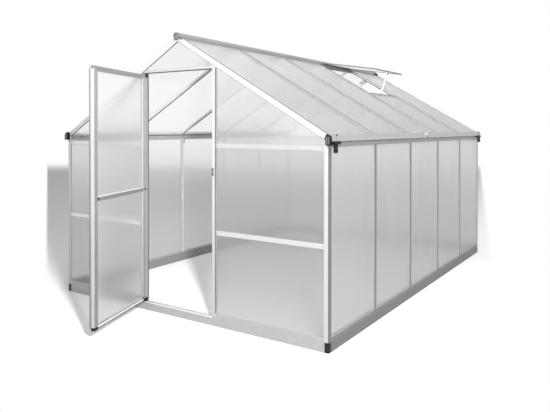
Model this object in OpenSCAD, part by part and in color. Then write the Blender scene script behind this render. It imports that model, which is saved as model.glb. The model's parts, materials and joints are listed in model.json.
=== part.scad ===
// Five-bay greenhouse: aluminium profiles glazed with twin-wall sheet, on a steel base.
// X runs across the front gable, Y from the front gable to the back one, Z is up.
// The origin is on the ground, under the middle of the front base rail.

/* [House] */
// Width over the corner posts
frame_w = 2430; // [1900:10:3000]
// Number of bays along the side
bays = 5; // [3:1:8]
// Spacing of the bars along the side
bay_pitch = 596; // [400:1:760]
// Height of the roof line above the outer face of the side wall
wall_h = 1254; // [1000:1:1600]
// Slope of the roof, in degrees
roof_angle = 29; // [22:0.5:38]
// Height of the lower edge of the rails at half wall height
mid_rail_z = 600; // [400:1:800]

/* [Base] */
// Height of the steel base rails
base_h = 60; // [40:1:120]
// Depth of the base rails, which is also the depth of the corner posts
rail_d = 26; // [22:1:40]
// Sheet thickness of the base rails
steel_t = 1.5; // [1:0.1:3]
// Width of a corner foot across the gable
foot_w = 30; // [24:1:50]
// Height of the glazing sill on the base
sill_h = 25; // [18:1:40]

/* [Profiles] */
// Width of posts, stiles and rafters across their face
bar_w = 33; // [26:1:45]
// Width of the glazing bars between the bays across their face
glazing_w = 28; // [26:1:40]
// Width of the horizontal rails across their face
gable_rail_w = 28; // [24:1:40]
// Depth of the glazing bars, with their stiffening rib
bar_d = 22; // [18:1:36]
// Depth of the door posts
door_post_d = 37; // [28:1:60]
// Wall thickness of the aluminium profiles
wall_t = 1.8; // [1.2:0.1:2.6]
// Thickness of the stiffening rib of a glazing bar
rib_t = 3; // [2:0.5:6]

/* [Glazing] */
// Thickness of the glazing sheet
panel_t = 4; // [3:0.5:8]
// Play between sheet and groove on each face
panel_play = 0.2; // [0.1:0.05:0.4]
// How far a sheet enters its groove
panel_grip = 9; // [6:0.5:10]

/* [Door] */
// Clear width between the door posts
doorway_w = 646; // [560:1:800]
// Offset of the doorway's centre from the ridge line, towards the right
doorway_shift = -8; // [-40:1:40]
// Height of the door header
header_h = 20; // [16:1:30]
// Spacing of the two posts in the back gable
back_post_pitch = 663; // [560:1:820]
// Thickness of the door leaf
leaf_t = 26; // [22:1:32]
// Width of the leaf's rails
leaf_rail_w = 30; // [26:1:45]
// Height of the leaf's middle rail above its lower edge
leaf_mid_h = 799; // [600:1:1000]
// Height of the end caps on the leaf's stiles
leaf_cap_h = 20; // [12:1:20]
// Width of the lip on the leaf's closing edge
leaf_lip = 13; // [6:1:14]
// Gap between the lip and the right door post
leaf_gap_lock = 8; // [5:0.5:14]
// How far the hinge axis stands off the left door post
hinge_offset = 13; // [13:0.5:20]
// Depth of the hinge axis behind the front face of the house
hinge_depth = 6; // [5:0.5:10]
// Gap under the leaf
leaf_gap_low = 6; // [5:0.5:12]
// Gap over the leaf
leaf_gap_top = 8.5; // [5:0.5:14]
// Angle at which the leaf stands open
leaf_open = 69; // [0:1:88]

/* [Gutter] */
// Reach of the gutter's outer face beyond the side wall
gutter_reach = 20; // [16:1:40]
// Height of the gutter's side
gutter_h = 42; // [30:1:60]
// Width of the gutter beam inside the face of the side wall
gutter_in = 14; // [12:1:20]
// Depth of the glazing channel under the gutter
eave_channel_h = 33; // [24:1:45]
// Thickness of the end caps on gutters and ridge
cap_t = 20; // [8:1:30]
// Outer diameter of a gutter outlet
outlet_d = 26; // [20:1:34]
// Length of an outlet pipe below its saddle
outlet_l = 51; // [30:1:80]
// Reach of the outlets beyond the side wall
outlet_reach = 35; // [30:1:60]

/* [Ridge] */
// Half width of the ridge beam's hub
hub_w = 21; // [16:1:30]
// Height of the ridge's top above the peak of the roof line
ridge_rise = 22.5; // [18:0.5:35]
// Depth of the hub's point below the peak of the roof line
hub_drop = 30; // [24:1:45]
// Reach of the ridge's glazing wings from the centre
wing_reach = 43; // [36:1:60]

/* [Roof vent] */
// Length of the hatch from its hinge to its free edge
hatch_l = 600; // [420:1:700]
// Angle of the open hatch above the roof slope
hatch_open = 20.3; // [5:0.1:30]
// Thickness of the hatch frame
hatch_t = 12; // [8:1:20]
// Length of the stay between its end joints
stay_l = 403; // [340:1:480]
// Distance of the stay's bend from the vent rail
catch_gap = 17; // [12:1:24]

/* [Hidden] */

// Gap between pieces that meet without being joined
seat = 0.3;
// Length that a cutting tool runs past what it cuts
over = 1;

// Frame of the house
half_w = frame_w / 2;
house_l = bays * bay_pitch;
front_y = -rail_d / 2;
back_y = front_y + house_l;
mid_y = (front_y + back_y) / 2;
slope = tan(roof_angle);
cos_r = cos(roof_angle);
peak_z = wall_h + half_w * slope;
sill_z = base_h + sill_h;

// Glazing grooves, all at one depth behind the outer face
slot = panel_t + 2 * panel_play;
groove_d = 2 * wall_t + slot;
panel_in = wall_t + panel_play;

// Eaves
gutter_top = wall_h + 11;
trough_z = gutter_top - gutter_h;
eave_z = trough_z - eave_channel_h;
beam_x = half_w - gutter_in;
eave_rail_drop = 20;
eave_rail_z = eave_z - eave_rail_drop;
drip = 7;

// Outlets
saddle_y = front_y + 5;
saddle_l = 75;
saddle_h = 16;
outlet_x = half_w + outlet_reach - outlet_d / 2;
outlet_y = front_y + 38;
outlet_bore = outlet_d - 4;
drain_d = 12;

// Roof
wing_s = wing_reach / cos_r;
bar_s = wing_s + seat;
roof_s = (half_w + drip) / cos_r;

// Doorway
door_l = doorway_shift - doorway_w / 2;
door_r = doorway_shift + doorway_w / 2;
post_tube = 14;
header_z = under_rafter(max(-door_l, door_r)) - header_h - seat;

// Door leaf, drawn shut along its hinge
hinge_x = door_l + hinge_offset;
hinge_y = front_y + hinge_depth;
leaf_x0 = hinge_offset;
leaf_x1 = doorway_w - hinge_offset - leaf_lip - leaf_gap_lock;
leaf_z0 = base_h + leaf_gap_low;
leaf_z1 = header_z - leaf_gap_top;
leaf_mid_z = leaf_z0 + leaf_mid_h;
stile_x0 = leaf_x0 + bar_w;
rail_inset = 2;
notch = panel_grip + 1;
leaf_lip_t = 2;
knuckle_r = 8;
pin_r = 3.5;
pin_play = 0.1;
eye_h = 5;
low_bracket_h = leaf_gap_low + leaf_cap_h + 2;
high_bracket_h = leaf_gap_top + leaf_cap_h + 2;

// Vent, in the last bay but one, on the right slope
vent_y0 = bar_y(bays - 2);
vent_y1 = bar_y(bays - 1);
vent_mid_y = (vent_y0 + vent_y1) / 2;
hatch_x = hub_w + 3;
hatch_z = peak_z + 8.5;
hatch_tilt = roof_angle - hatch_open;
hatch_side = 5;
hatch_bar = 22;
vent_rail_s = hatch_x / cos_r + hatch_l - 10;

// The stay hangs from a joint under the hatch's free bar, and bends at the catch
stay_w = 14;
stay_t = 2;
stay_bend = 16.4;
hole_d = 5;
hole_pitch = 25;
tab_h = 14;
joint_l = hatch_l - 24;
joint_drop = hatch_t + 8;
joint_x = hatch_x + joint_l * cos(hatch_tilt) - joint_drop * sin(hatch_tilt);
joint_z = hatch_z - joint_l * sin(hatch_tilt) - joint_drop * cos(hatch_tilt);
bend_drop = 4;
bend_x = (vent_rail_s - catch_gap) * cos_r - bend_drop * sin(roof_angle);
bend_z = peak_z - (vent_rail_s - catch_gap) * sin(roof_angle) - bend_drop * cos_r;
stay_upper = norm([joint_x - bend_x, joint_z - bend_z]);
stay_lean = atan2(joint_x - bend_x, joint_z - bend_z);

// Back gable
back_post_x = back_post_pitch / 2;

// Height of the roof line above a distance from the ridge line
function roof_z(x) = peak_z - abs(x) * slope;
// Height of the lower edge of the rafters' faces
function under_rafter(x) = roof_z(x) - bar_w / cos_r;
// Height of the upper edges of the gable's sheets
function gable_top(x) = roof_z(x) - (bar_w - panel_grip) / cos_r;
// Place of a side bar
function bar_y(k) = front_y + k * bay_pitch;
// Edges of the sheet in a bay, counted from the front
function bay_from(i) = i == 0 ? front_y + rail_d - panel_grip : bar_y(i) + glazing_w / 2 - panel_grip;
function bay_to(i) = i == bays - 1 ? back_y - rail_d + panel_grip
                                   : bar_y(i + 1) - glazing_w / 2 + panel_grip;

// ---- Placing ----

// An outline in X and Z, drawn out from y0 to y1
module along_y(y0, y1) {
    translate([0, y1, 0]) rotate([90, 0, 0]) linear_extrude(y1 - y0) children();
}

// An outline in Y and Z, drawn out from x0 to x1
module along_x(x0, x1) {
    translate([x0, 0, 0]) rotate([90, 0, 90]) linear_extrude(x1 - x0) children();
}

// The right slope's own frame: X down the slope, Z square to it, origin at the peak
module on_slope() {
    translate([0, 0, peak_z]) rotate([0, roof_angle, 0]) children();
}

// The same frame for an outline in X and Z
module on_slope_2d() {
    translate([0, peak_z]) rotate(-roof_angle) children();
}

module to_left() {
    mirror([1, 0, 0]) children();
}

module to_back() {
    translate([0, 2 * mid_y, 0]) mirror([0, 1, 0]) children();
}

module both_sides() {
    children();
    to_left() children();
}

module four_corners() {
    both_sides() children();
    to_back() both_sides() children();
}

// Everything lower than a given depth under the roof line, measured square to it
module below_roof(depth) {
    reach = 1.5 * half_w;
    top = peak_z - depth / cos_r;
    along_y(front_y - over, back_y + over)
        polygon([[-reach, 0], [reach, 0], [reach, top - reach * slope], [0, top],
                 [-reach, top - reach * slope]]);
}

// ---- Profile sections, with the outer face on the X axis and the depth along -Y or +Y ----

// Glazing bar with a groove on each side and a rib behind; its face looks to +Y
module bar_section(w = glazing_w) {
    translate([-w / 2, -wall_t]) square([w, wall_t]);
    translate([-w / 2, -groove_d]) square([w, wall_t]);
    translate([-rib_t / 2, -bar_d]) square([rib_t, bar_d]);
}

// Corner profile: a wide face along X, a narrow one along Y, and a groove behind each
module corner_section() {
    square([bar_w, wall_t]);
    square([wall_t, rail_d]);
    square([groove_d, groove_d]);
    translate([0, groove_d - wall_t]) square([bar_w, wall_t]);
    translate([groove_d - wall_t, 0]) square([wall_t, rail_d]);
}

// Door post: a tube along the doorway, which starts at X = 0, and a groove on the far side
module door_post_section() {
    difference() {
        square([post_tube, door_post_d]);
        translate([wall_t, wall_t])
            square([post_tube - 2 * wall_t, door_post_d - 2 * wall_t]);
    }
    square([bar_w, wall_t]);
    translate([0, groove_d - wall_t]) square([bar_w, wall_t]);
}

// Sill: depth from the outer face along X, height along Y
module sill_section() {
    square([rail_d, wall_t]);
    square([wall_t, sill_h]);
    translate([groove_d - wall_t, 0]) square([wall_t, sill_h]);
}

// Base rail: folded sheet, open to the inside
module base_section() {
    difference() {
        square([rail_d, base_h]);
        translate([steel_t, steel_t]) square([rail_d, base_h - 2 * steel_t]);
    }
}

// Gutter beam of the right eave, in X and Z
module gutter_section() {
    beam_seat = roof_z(beam_x + wall_t) - (panel_in + panel_t) / cos_r - seat;
    step = 15;
    bead = 3;
    translate([half_w - wall_t, eave_z]) square([wall_t, eave_channel_h + wall_t]);
    translate([half_w - groove_d, eave_z]) square([wall_t, eave_channel_h + wall_t]);
    translate([beam_x, trough_z]) square([gutter_in + gutter_reach, wall_t]);
    translate([beam_x, trough_z]) square([wall_t, beam_seat - trough_z]);
    translate([half_w + gutter_reach - wall_t, trough_z]) square([wall_t, gutter_h]);
    translate([half_w + gutter_reach - wall_t, gutter_top - step]) square([wall_t + 1, step]);
    translate([half_w + gutter_reach - bead, gutter_top - bead]) square([bead, bead]);
}

// Outline of the eave's end cap: a leg down the wall and a leg along the slope
module eave_cap_section() {
    leg_w = 34;
    leg_low = 20;
    shoulder = 7;
    leg_t = 28;
    leg_over = 6;
    leg_s = 24;
    outer = half_w + gutter_reach;
    corner_s = (outer - 9) / cos_r;
    polygon([[outer - leg_w, trough_z - leg_low], [outer, trough_z - leg_low],
             [outer, wall_h - shoulder], [outer - 9, wall_h],
             [outer - leg_w, wall_h - shoulder]]);
    on_slope_2d() translate([corner_s - leg_s, leg_over - leg_t]) square([leg_s, leg_t]);
}

// Hub of the ridge beam, with a given skin around it
module hub_outline(skin) {
    w = hub_w + skin;
    top = peak_z + ridge_rise - 1.5 + skin;
    polygon([[0, peak_z - hub_drop - skin], [w - 5, peak_z - hub_drop / 2 - skin],
             [w, peak_z - 6], [w, top - 13], [w / 2, top], [-w / 2, top], [-w, top - 13],
             [-w, peak_z - 6], [5 - w, peak_z - hub_drop / 2 - skin]]);
}

// Wings of the ridge beam that hold the upper edge of the roof sheets
module wings_2d() {
    for (side = [0, 1]) mirror([side, 0]) on_slope_2d() {
        translate([hub_w / 2, -wall_t]) square([wing_s - hub_w / 2, wall_t]);
        translate([hub_w / 2, -groove_d]) square([wing_s - hub_w / 2, wall_t]);
    }
}

// Room that the ridge beam takes, with its running gap
module ridge_room() {
    hub_outline(seat);
    for (side = [0, 1]) mirror([side, 0]) on_slope_2d()
        translate([0, -groove_d - seat]) square([bar_s, groove_d + hub_w]);
}

// ---- Base ----

module gable_base_rail() {
    translate([0, front_y, 0]) along_x(foot_w - half_w, half_w - foot_w) base_section();
}

module base_rails() {
    color("#8f9194") {
        gable_base_rail();
        to_back() gable_base_rail();
        both_sides() along_y(front_y + rail_d, back_y - rail_d)
            translate([half_w, 0]) mirror([1, 0]) base_section();
    }
}

module corner_feet() {
    color("#1d1d1f") four_corners()
        translate([half_w - foot_w, front_y, 0]) cube([foot_w, rail_d, base_h]);
}

// ---- Sills ----

module sill_run(x0, x1) {
    translate([0, front_y, base_h]) along_x(x0, x1) sill_section();
}

module sills() {
    color("#c9cbcd") {
        sill_run(bar_w - half_w, door_l - bar_w);
        sill_run(door_r + bar_w, half_w - bar_w);
        to_back() sill_run(bar_w - half_w, half_w - bar_w);
        both_sides() along_y(front_y + rail_d, back_y - rail_d)
            translate([half_w, base_h]) mirror([1, 0]) sill_section();
    }
}

// ---- Posts and bars ----

// A corner post stands on the base and carries the gutter beam; beside the beam it runs on
// up to the rafter
module corner_post() {
    translate([half_w, front_y, base_h]) mirror([1, 0, 0])
        linear_extrude(eave_z - base_h) corner_section();
    intersection() {
        translate([half_w, front_y, eave_z]) mirror([1, 0, 0])
            linear_extrude(wall_h - eave_z) corner_section();
        translate([0, front_y - over, eave_z])
            cube([beam_x - seat, rail_d + 2 * over, wall_h]);
        below_roof(bar_w + seat);
    }
}

module corner_posts() {
    color("#d9dbdc") four_corners() corner_post();
}

module wall_bars() {
    color("#c6c8ca") both_sides() for (k = [1 : bays - 1])
        translate([half_w, bar_y(k), sill_z])
        rotate(-90) linear_extrude(eave_z - sill_z) bar_section();
}

module right_door_post(edge) {
    intersection() {
        translate([edge, front_y, base_h]) linear_extrude(peak_z) door_post_section();
        below_roof(bar_w + seat);
    }
}

module door_post_left() {
    color("#d9dbdc") to_left() right_door_post(-door_l);
}

module door_post_right() {
    color("#d9dbdc") right_door_post(door_r);
}

// The header is a channel, open upwards for the sheet over the door
module door_header() {
    color("#d9dbdc") translate([0, front_y, header_z]) along_x(door_l, door_r) {
        square([rail_d, wall_t]);
        square([wall_t, header_h]);
        translate([groove_d - wall_t, 0]) square([wall_t, header_h]);
    }
}

// Rafter at the front gable on the right slope, mitred at the ridge line
module rafter() {
    difference() {
        intersection() {
            on_slope() translate([0, front_y, 0]) along_x(0, roof_s)
                rotate(-90) corner_section();
            translate([seat / 2, front_y - over, 0])
                cube([beam_x - seat - seat / 2, rail_d + 2 * over, 2 * peak_z]);
        }
        along_y(front_y - over, front_y + rail_d + over) ridge_room();
    }
    on_slope() translate([bar_s, front_y, -wall_t]) cube([roof_s - bar_s, rail_d, wall_t]);
}

module front_rafters() {
    color("#d9dbdc") both_sides() rafter();
}

module back_rafters() {
    color("#d9dbdc") to_back() both_sides() rafter();
}

// Horizontal rail of the front gable between two posts
module gable_rail(x0, x1, z) {
    translate([0, front_y, z + gable_rail_w / 2])
        along_x(x0, x1) rotate(90) bar_section(gable_rail_w);
}

module front_gable_rails() {
    color("#d9dbdc") for (z = [mid_rail_z, eave_rail_z]) {
        gable_rail(bar_w - half_w, door_l - bar_w, z);
        gable_rail(door_r + bar_w, half_w - bar_w, z);
    }
}

module back_gable_posts() {
    color("#d9dbdc") to_back() intersection() {
        both_sides() translate([back_post_x, front_y, sill_z])
            rotate(180) linear_extrude(peak_z) bar_section(bar_w);
        below_roof(bar_w + seat);
    }
}

module back_gable_rails() {
    inner = back_post_x - bar_w / 2;
    color("#d9dbdc") to_back() for (z = [mid_rail_z, eave_rail_z]) {
        gable_rail(-inner, inner, z);
        both_sides() gable_rail(back_post_x + bar_w / 2, half_w - bar_w, z);
    }
}

// ---- Eaves ----

// The gutter has a drain in its floor near each end
module gutter() {
    difference() {
        along_y(front_y, back_y) gutter_section();
        for (y = [outlet_y, 2 * mid_y - outlet_y])
            translate([half_w + gutter_reach / 2, y, trough_z - over])
                cylinder(h = wall_t + 2 * over, d = drain_d, $fn = 32);
    }
}

module eave_gutter_right() {
    color("#b4b6b8") gutter();
}

module eave_gutter_left() {
    color("#b4b6b8") to_left() gutter();
}

module eave_end_caps() {
    color("#2a2a2c") four_corners() along_y(front_y - cap_t, front_y) eave_cap_section();
}

// The saddle is a tray under the drain in the gutter's floor; it leads to the pipe
module outlet_saddles() {
    skin = 2;
    color("#1d1d1f") four_corners() difference() {
        translate([half_w + seat, saddle_y, trough_z - saddle_h])
            cube([outlet_reach - seat, saddle_l, saddle_h]);
        translate([half_w + seat + skin, saddle_y + skin, trough_z - saddle_h + skin])
            cube([outlet_reach - seat - 2 * skin, saddle_l - 2 * skin, saddle_h - 2 * skin]);
        translate([half_w + seat + skin, saddle_y + skin, trough_z - skin - over])
            cube([gutter_reach - seat - 2 * skin, saddle_l - 2 * skin, 2 * skin + over]);
        translate([outlet_x, outlet_y, trough_z - saddle_h - over])
            cylinder(h = saddle_h / 2, d = outlet_bore, $fn = 48);
    }
}

module outlet_pipes() {
    color("#1d1d1f") four_corners()
        translate([outlet_x, outlet_y, trough_z - saddle_h - outlet_l]) difference() {
            cylinder(h = outlet_l, d = outlet_d, $fn = 48);
            translate([0, 0, -over]) cylinder(h = outlet_l + 2 * over, d = outlet_bore, $fn = 48);
        }
}

// ---- Ridge ----

module ridge_beam() {
    color("#9a9c9e") along_y(front_y, back_y) difference() {
        union() {
            hub_outline(0);
            wings_2d();
        }
        hub_outline(-wall_t);
    }
}

module ridge_end_caps() {
    color("#6b6b6e") {
        along_y(front_y - cap_t, front_y) hub_outline(1.5);
        to_back() along_y(front_y - cap_t, front_y) hub_outline(1.5);
    }
}

// ---- Roof bars ----

module roof_bars() {
    color("#c6c8ca") both_sides() for (k = [1 : bays - 1]) {
        intersection() {
            on_slope() translate([0, bar_y(k), 0]) along_x(bar_s, roof_s) bar_section();
            translate([0, front_y, 0]) cube([beam_x - seat, house_l, 2 * peak_z]);
        }
        on_slope() translate([bar_s, bar_y(k) - glazing_w / 2, -wall_t])
            cube([roof_s - bar_s, glazing_w, wall_t]);
    }
}

// ---- Glazing ----

panel_colour = "#e2e6e8";

module wall_panels() {
    z0 = sill_z - panel_grip;
    color(panel_colour) for (i = [0 : bays - 1])
        translate([half_w - panel_in - panel_t, bay_from(i), z0])
            cube([panel_t, bay_to(i) - bay_from(i), eave_z + panel_grip - z0]);
}

module left_wall_panels() {
    to_left() wall_panels();
}

module right_wall_panels() {
    wall_panels();
}

// A sheet in the front gable, drawn in X and Z
module gable_sheet() {
    y = front_y + panel_in;
    along_y(y, y + panel_t) children();
}

module flat_sheet(x0, x1, z0, z1) {
    gable_sheet() translate([x0, z0]) square([x1 - x0, z1 - z0]);
}

// The sheets between the sill and the eave rail, in one field between two posts
module field_sheets(x0, x1) {
    flat_sheet(x0, x1, sill_z - panel_grip, mid_rail_z + panel_grip);
    flat_sheet(x0, x1, mid_rail_z + gable_rail_w - panel_grip, eave_rail_z + panel_grip);
}

// The sheet over the eave rail, from the edge x0 nearer the ridge line out to x1
module side_triangle(x0, x1) {
    z0 = eave_rail_z + gable_rail_w - panel_grip;
    gable_sheet() polygon([[x0, z0], [x1, z0], [x1, gable_top(x1)], [x0, gable_top(x0)]]);
}

// The sheet under the peak, cut off below the ridge beam
module peak_sheet(x0, x1, z0) {
    gable_sheet() intersection() {
        polygon([[x0, z0], [x1, z0], [x1, gable_top(x1)], [0, gable_top(0)],
                 [x0, gable_top(x0)]]);
        translate([x0, z0]) square([x1 - x0, peak_z - hub_drop - 1 - z0]);
    }
}

outer_edge = half_w - bar_w + panel_grip;

module front_wall_panels() {
    color(panel_colour) {
        field_sheets(door_r + bar_w - panel_grip, outer_edge);
        field_sheets(-outer_edge, door_l - bar_w + panel_grip);
    }
}

module front_gable_panels() {
    color(panel_colour) {
        side_triangle(door_r + bar_w - panel_grip, outer_edge);
        to_left() side_triangle(bar_w - panel_grip - door_l, outer_edge);
        peak_sheet(door_l + seat, door_r - seat, header_z + header_h - panel_grip);
    }
}

module back_wall_panels() {
    inner = back_post_x - bar_w / 2 + panel_grip;
    color(panel_colour) to_back() {
        field_sheets(-inner, inner);
        both_sides() field_sheets(back_post_x + bar_w / 2 - panel_grip, outer_edge);
    }
}

module back_gable_panels() {
    inner = back_post_x - bar_w / 2 + panel_grip;
    color(panel_colour) to_back() {
        both_sides() side_triangle(back_post_x + bar_w / 2 - panel_grip, outer_edge);
        peak_sheet(-inner, inner, eave_rail_z + gable_rail_w - panel_grip);
    }
}

// Sheet on the right slope in bay i, from s0 down to the gutter
module roof_sheet(i, s0) {
    on_slope() translate([s0, bay_from(i), -panel_in - panel_t])
        cube([roof_s - s0, bay_to(i) - bay_from(i), panel_t]);
}

sheet_s = (hub_w + 4) / cos_r;

module left_roof_panels() {
    color(panel_colour) to_left() for (i = [0 : bays - 1]) roof_sheet(i, sheet_s);
}

module right_roof_panels() {
    color(panel_colour) for (i = [0 : bays - 1])
        roof_sheet(i, i == bays - 2 ? vent_rail_s + glazing_w - panel_grip : sheet_s);
}

// ---- Roof vent ----

// Rail across the bay under the hatch's free edge
module vent_rail() {
    color("#c6c8ca") on_slope()
        translate([vent_rail_s + glazing_w / 2, vent_y1 - glazing_w / 2, 0])
        rotate([90, 0, 0]) linear_extrude(vent_y1 - vent_y0 - glazing_w) bar_section();
}

// The open hatch's own frame: X from the hinge to the free edge, Z square to the hatch
module on_hatch() {
    translate([hatch_x, vent_mid_y, hatch_z]) rotate([0, hatch_tilt, 0]) children();
}

hatch_half = bay_pitch / 2 - hatch_side;

// A frame with a groove for the sheet, and a strip that hinges on the ridge's side
module vent_hatch_frame() {
    inner = hatch_half - hatch_bar;
    color("#8d8f92") {
        on_hatch() difference() {
            translate([seat, -hatch_half, -hatch_t])
                cube([hatch_l - seat, 2 * hatch_half, hatch_t]);
            translate([hatch_bar, -inner, -hatch_t - over])
                cube([hatch_l - 2 * hatch_bar, 2 * inner, hatch_t + 2 * over]);
            translate([hatch_bar - notch, -inner - notch, -(hatch_t + slot) / 2])
                cube([hatch_l - 2 * (hatch_bar - notch), 2 * (inner + notch), slot]);
        }
        translate([hub_w, vent_mid_y - hatch_half, peak_z - 2])
            cube([6, 2 * hatch_half, 7]);
    }
}

module vent_hatch_panel() {
    from = hatch_bar - panel_grip;
    half = hatch_half - from;
    color(panel_colour) on_hatch()
        translate([from, -half, -(hatch_t + panel_t) / 2])
        cube([hatch_l - 2 * from, 2 * half, panel_t]);
}

// One leg of the stay: a flat strip with round ends, from the origin along X, with a row of
// holes that starts at a given place
module stay_leg(l, first_hole) {
    translate([0, stay_t / 2, 0]) rotate([90, 0, 0]) linear_extrude(stay_t) difference() {
        union() {
            circle(d = stay_w, $fn = 32);
            translate([0, -stay_w / 2]) square([l, stay_w]);
            translate([l, 0]) circle(d = stay_w, $fn = 32);
        }
        for (x = [first_hole : hole_pitch : l + 1]) translate([x, 0])
            circle(d = hole_d, $fn = 16);
    }
}

// The stay hangs from a tab under the hatch's free bar
module vent_stay() {
    color("#e6e7e8") on_hatch() {
        translate([joint_l - 10, -stay_t * 1.5, -hatch_t - tab_h])
            cube([20, stay_t, tab_h]);
        translate([joint_l, 0, -joint_drop]) rotate([0, 90 + stay_lean - hatch_tilt, 0]) {
            stay_leg(stay_upper, stay_upper - 4 * hole_pitch);
            translate([stay_upper, 0, 0]) rotate([0, stay_bend, 0])
                stay_leg(stay_l - stay_upper, 0);
        }
    }
}

// Catch on the vent rail, with a pin that holds the stay by the hole at its bend
module vent_stay_catch() {
    color("#1d1d1f") on_slope() {
        translate([vent_rail_s - catch_gap - 9, vent_mid_y + stay_t / 2, -groove_d])
            cube([catch_gap + 9, 5, groove_d]);
        translate([vent_rail_s - catch_gap, vent_mid_y + stay_t / 2 + over, -bend_drop])
            rotate([90, 0, 0])
            cylinder(h = stay_t + 4, r = hole_d / 2 - pin_play, $fn = 16);
    }
}

// ---- Door fittings on the house ----

module door_latch() {
    latch_z = 984;
    color("#5d5f62") translate([door_r + 2, front_y - 9, latch_z]) cube([16, 9, 53]);
}

// Half of a hinge on the house: a boss with a pin, joined to the door post
module hinge_bracket(h) {
    translate([hinge_x, hinge_y, 0]) {
        cylinder(h = h, r = knuckle_r, $fn = 48);
        translate([-hinge_offset, -4, 0]) cube([hinge_offset, 10, h]);
        cylinder(h = h + eye_h + 2, r = pin_r, $fn = 32);
    }
}

module hinge_brackets() {
    color("#1d1d1f") {
        translate([0, 0, base_h]) hinge_bracket(low_bracket_h);
        translate([0, 0, header_z]) mirror([0, 0, 1]) hinge_bracket(high_bracket_h);
    }
}

// ---- Door leaf ----
// The leaf's frame has its origin on the hinge axis; shut, the leaf lies along X, with its
// inner face at Y = 0 and its outer face at Y = -leaf_t.

module hung() {
    translate([hinge_x, hinge_y, 0]) rotate(-leaf_open) children();
}

// Room for the sheet in an edge at X = 0, and the two chambers beside it
module leaf_groove() {
    side = (leaf_t - slot) / 2;
    translate([-notch, side - leaf_t]) square([notch + over, slot]);
    for (y = [wall_t - leaf_t, wall_t - side])
        translate([-notch, y]) square([notch - wall_t, side - 2 * wall_t]);
}

// Section of a stile or rail, a tube with a groove in its edge at X = w
module leaf_section(w) {
    difference() {
        translate([0, -leaf_t]) square([w, leaf_t]);
        translate([wall_t, wall_t - leaf_t])
            square([w - notch - 2 * wall_t, leaf_t - 2 * wall_t]);
        translate([w, 0]) leaf_groove();
    }
}

// Section of the middle rail, grooved at both edges
module leaf_mid_section() {
    difference() {
        translate([0, -leaf_t]) square([gable_rail_w, leaf_t]);
        translate([notch + wall_t, wall_t - leaf_t])
            square([gable_rail_w - 2 * (notch + wall_t), leaf_t - 2 * wall_t]);
        translate([gable_rail_w, 0]) leaf_groove();
        mirror([1, 0]) leaf_groove();
    }
}

// Stiles run between their end caps
module stile() {
    translate([0, 0, leaf_z0 + leaf_cap_h])
        linear_extrude(leaf_z1 - leaf_z0 - 2 * leaf_cap_h) children();
}

// Half of a hinge on the leaf: an eye over the bracket's pin, from the height z up
module hinge_eye(z) {
    translate([0, 0, z]) {
        cylinder(h = eye_h, r = knuckle_r, $fn = 48);
        translate([0, -knuckle_r, 0]) cube([leaf_x0 + wall_t, knuckle_r, eye_h]);
    }
}

module pin_hole(z) {
    translate([0, 0, z]) cylinder(h = eye_h + 2 * over, r = pin_r + pin_play, $fn = 32);
}

module door_hinge_stile() {
    low = base_h + low_bracket_h + seat;
    high = header_z - high_bracket_h - seat - eye_h;
    color("#c2c4c6") hung() difference() {
        union() {
            stile() translate([leaf_x0, 0]) leaf_section(bar_w);
            hinge_eye(low);
            hinge_eye(high);
        }
        pin_hole(low - over);
        pin_hole(high - over);
    }
}

// The free stile has a lip that covers the gap to the door post
module door_free_stile() {
    color("#c2c4c6") hung() stile() {
        translate([leaf_x1, 0]) mirror([1, 0]) leaf_section(bar_w);
        translate([leaf_x1 - over, -leaf_t]) square([leaf_lip + over, leaf_lip_t]);
    }
}

// A rail between the stiles, with its lower edge at the origin
module leaf_rail() {
    along_x(stile_x0, leaf_x1 - bar_w) rotate(90) mirror([0, 1]) children();
}

module door_rails() {
    color("#c2c4c6") hung() {
        translate([0, 0, leaf_z0 + rail_inset]) leaf_rail() leaf_section(leaf_rail_w);
        translate([0, 0, leaf_mid_z - gable_rail_w / 2]) leaf_rail() leaf_mid_section();
        translate([0, 0, leaf_z1 - rail_inset]) mirror([0, 0, 1])
            leaf_rail() leaf_section(leaf_rail_w);
    }
}

// A sheet in the leaf, between the heights z0 and z1
module leaf_sheet(z0, z1) {
    x0 = stile_x0 - panel_grip;
    x1 = leaf_x1 - bar_w + panel_grip;
    translate([x0, -(leaf_t + panel_t) / 2, z0]) cube([x1 - x0, panel_t, z1 - z0]);
}

module door_panels() {
    edge = rail_inset + leaf_rail_w - panel_grip;
    mid_edge = gable_rail_w / 2 - panel_grip;
    color(panel_colour) hung() {
        leaf_sheet(leaf_z0 + edge, leaf_mid_z - mid_edge);
        leaf_sheet(leaf_mid_z + mid_edge, leaf_z1 - edge);
    }
}

// End caps of both stiles, from the height z up
module leaf_caps(z) {
    hung() for (x = [leaf_x0, leaf_x1 - bar_w])
        translate([x, -leaf_t, z]) cube([bar_w, leaf_t, leaf_cap_h]);
}

module door_foot_caps() {
    color("#1d1d1f") leaf_caps(leaf_z0);
}

module door_head_caps() {
    color("#77797c") leaf_caps(leaf_z1 - leaf_cap_h);
}

base_rails();
corner_feet();
sills();
corner_posts();
wall_bars();
door_post_left();
door_post_right();
door_header();
front_rafters();
back_rafters();
front_gable_rails();
back_gable_posts();
back_gable_rails();
eave_gutter_left();
eave_gutter_right();
eave_end_caps();
outlet_saddles();
outlet_pipes();
ridge_beam();
ridge_end_caps();
roof_bars();
left_wall_panels();
right_wall_panels();
front_wall_panels();
front_gable_panels();
back_wall_panels();
back_gable_panels();
left_roof_panels();
right_roof_panels();
vent_rail();
vent_hatch_frame();
vent_hatch_panel();
vent_stay();
vent_stay_catch();
door_latch();
hinge_brackets();
door_hinge_stile();
door_free_stile();
door_rails();
door_panels();
door_foot_caps();
door_head_caps();
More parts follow.
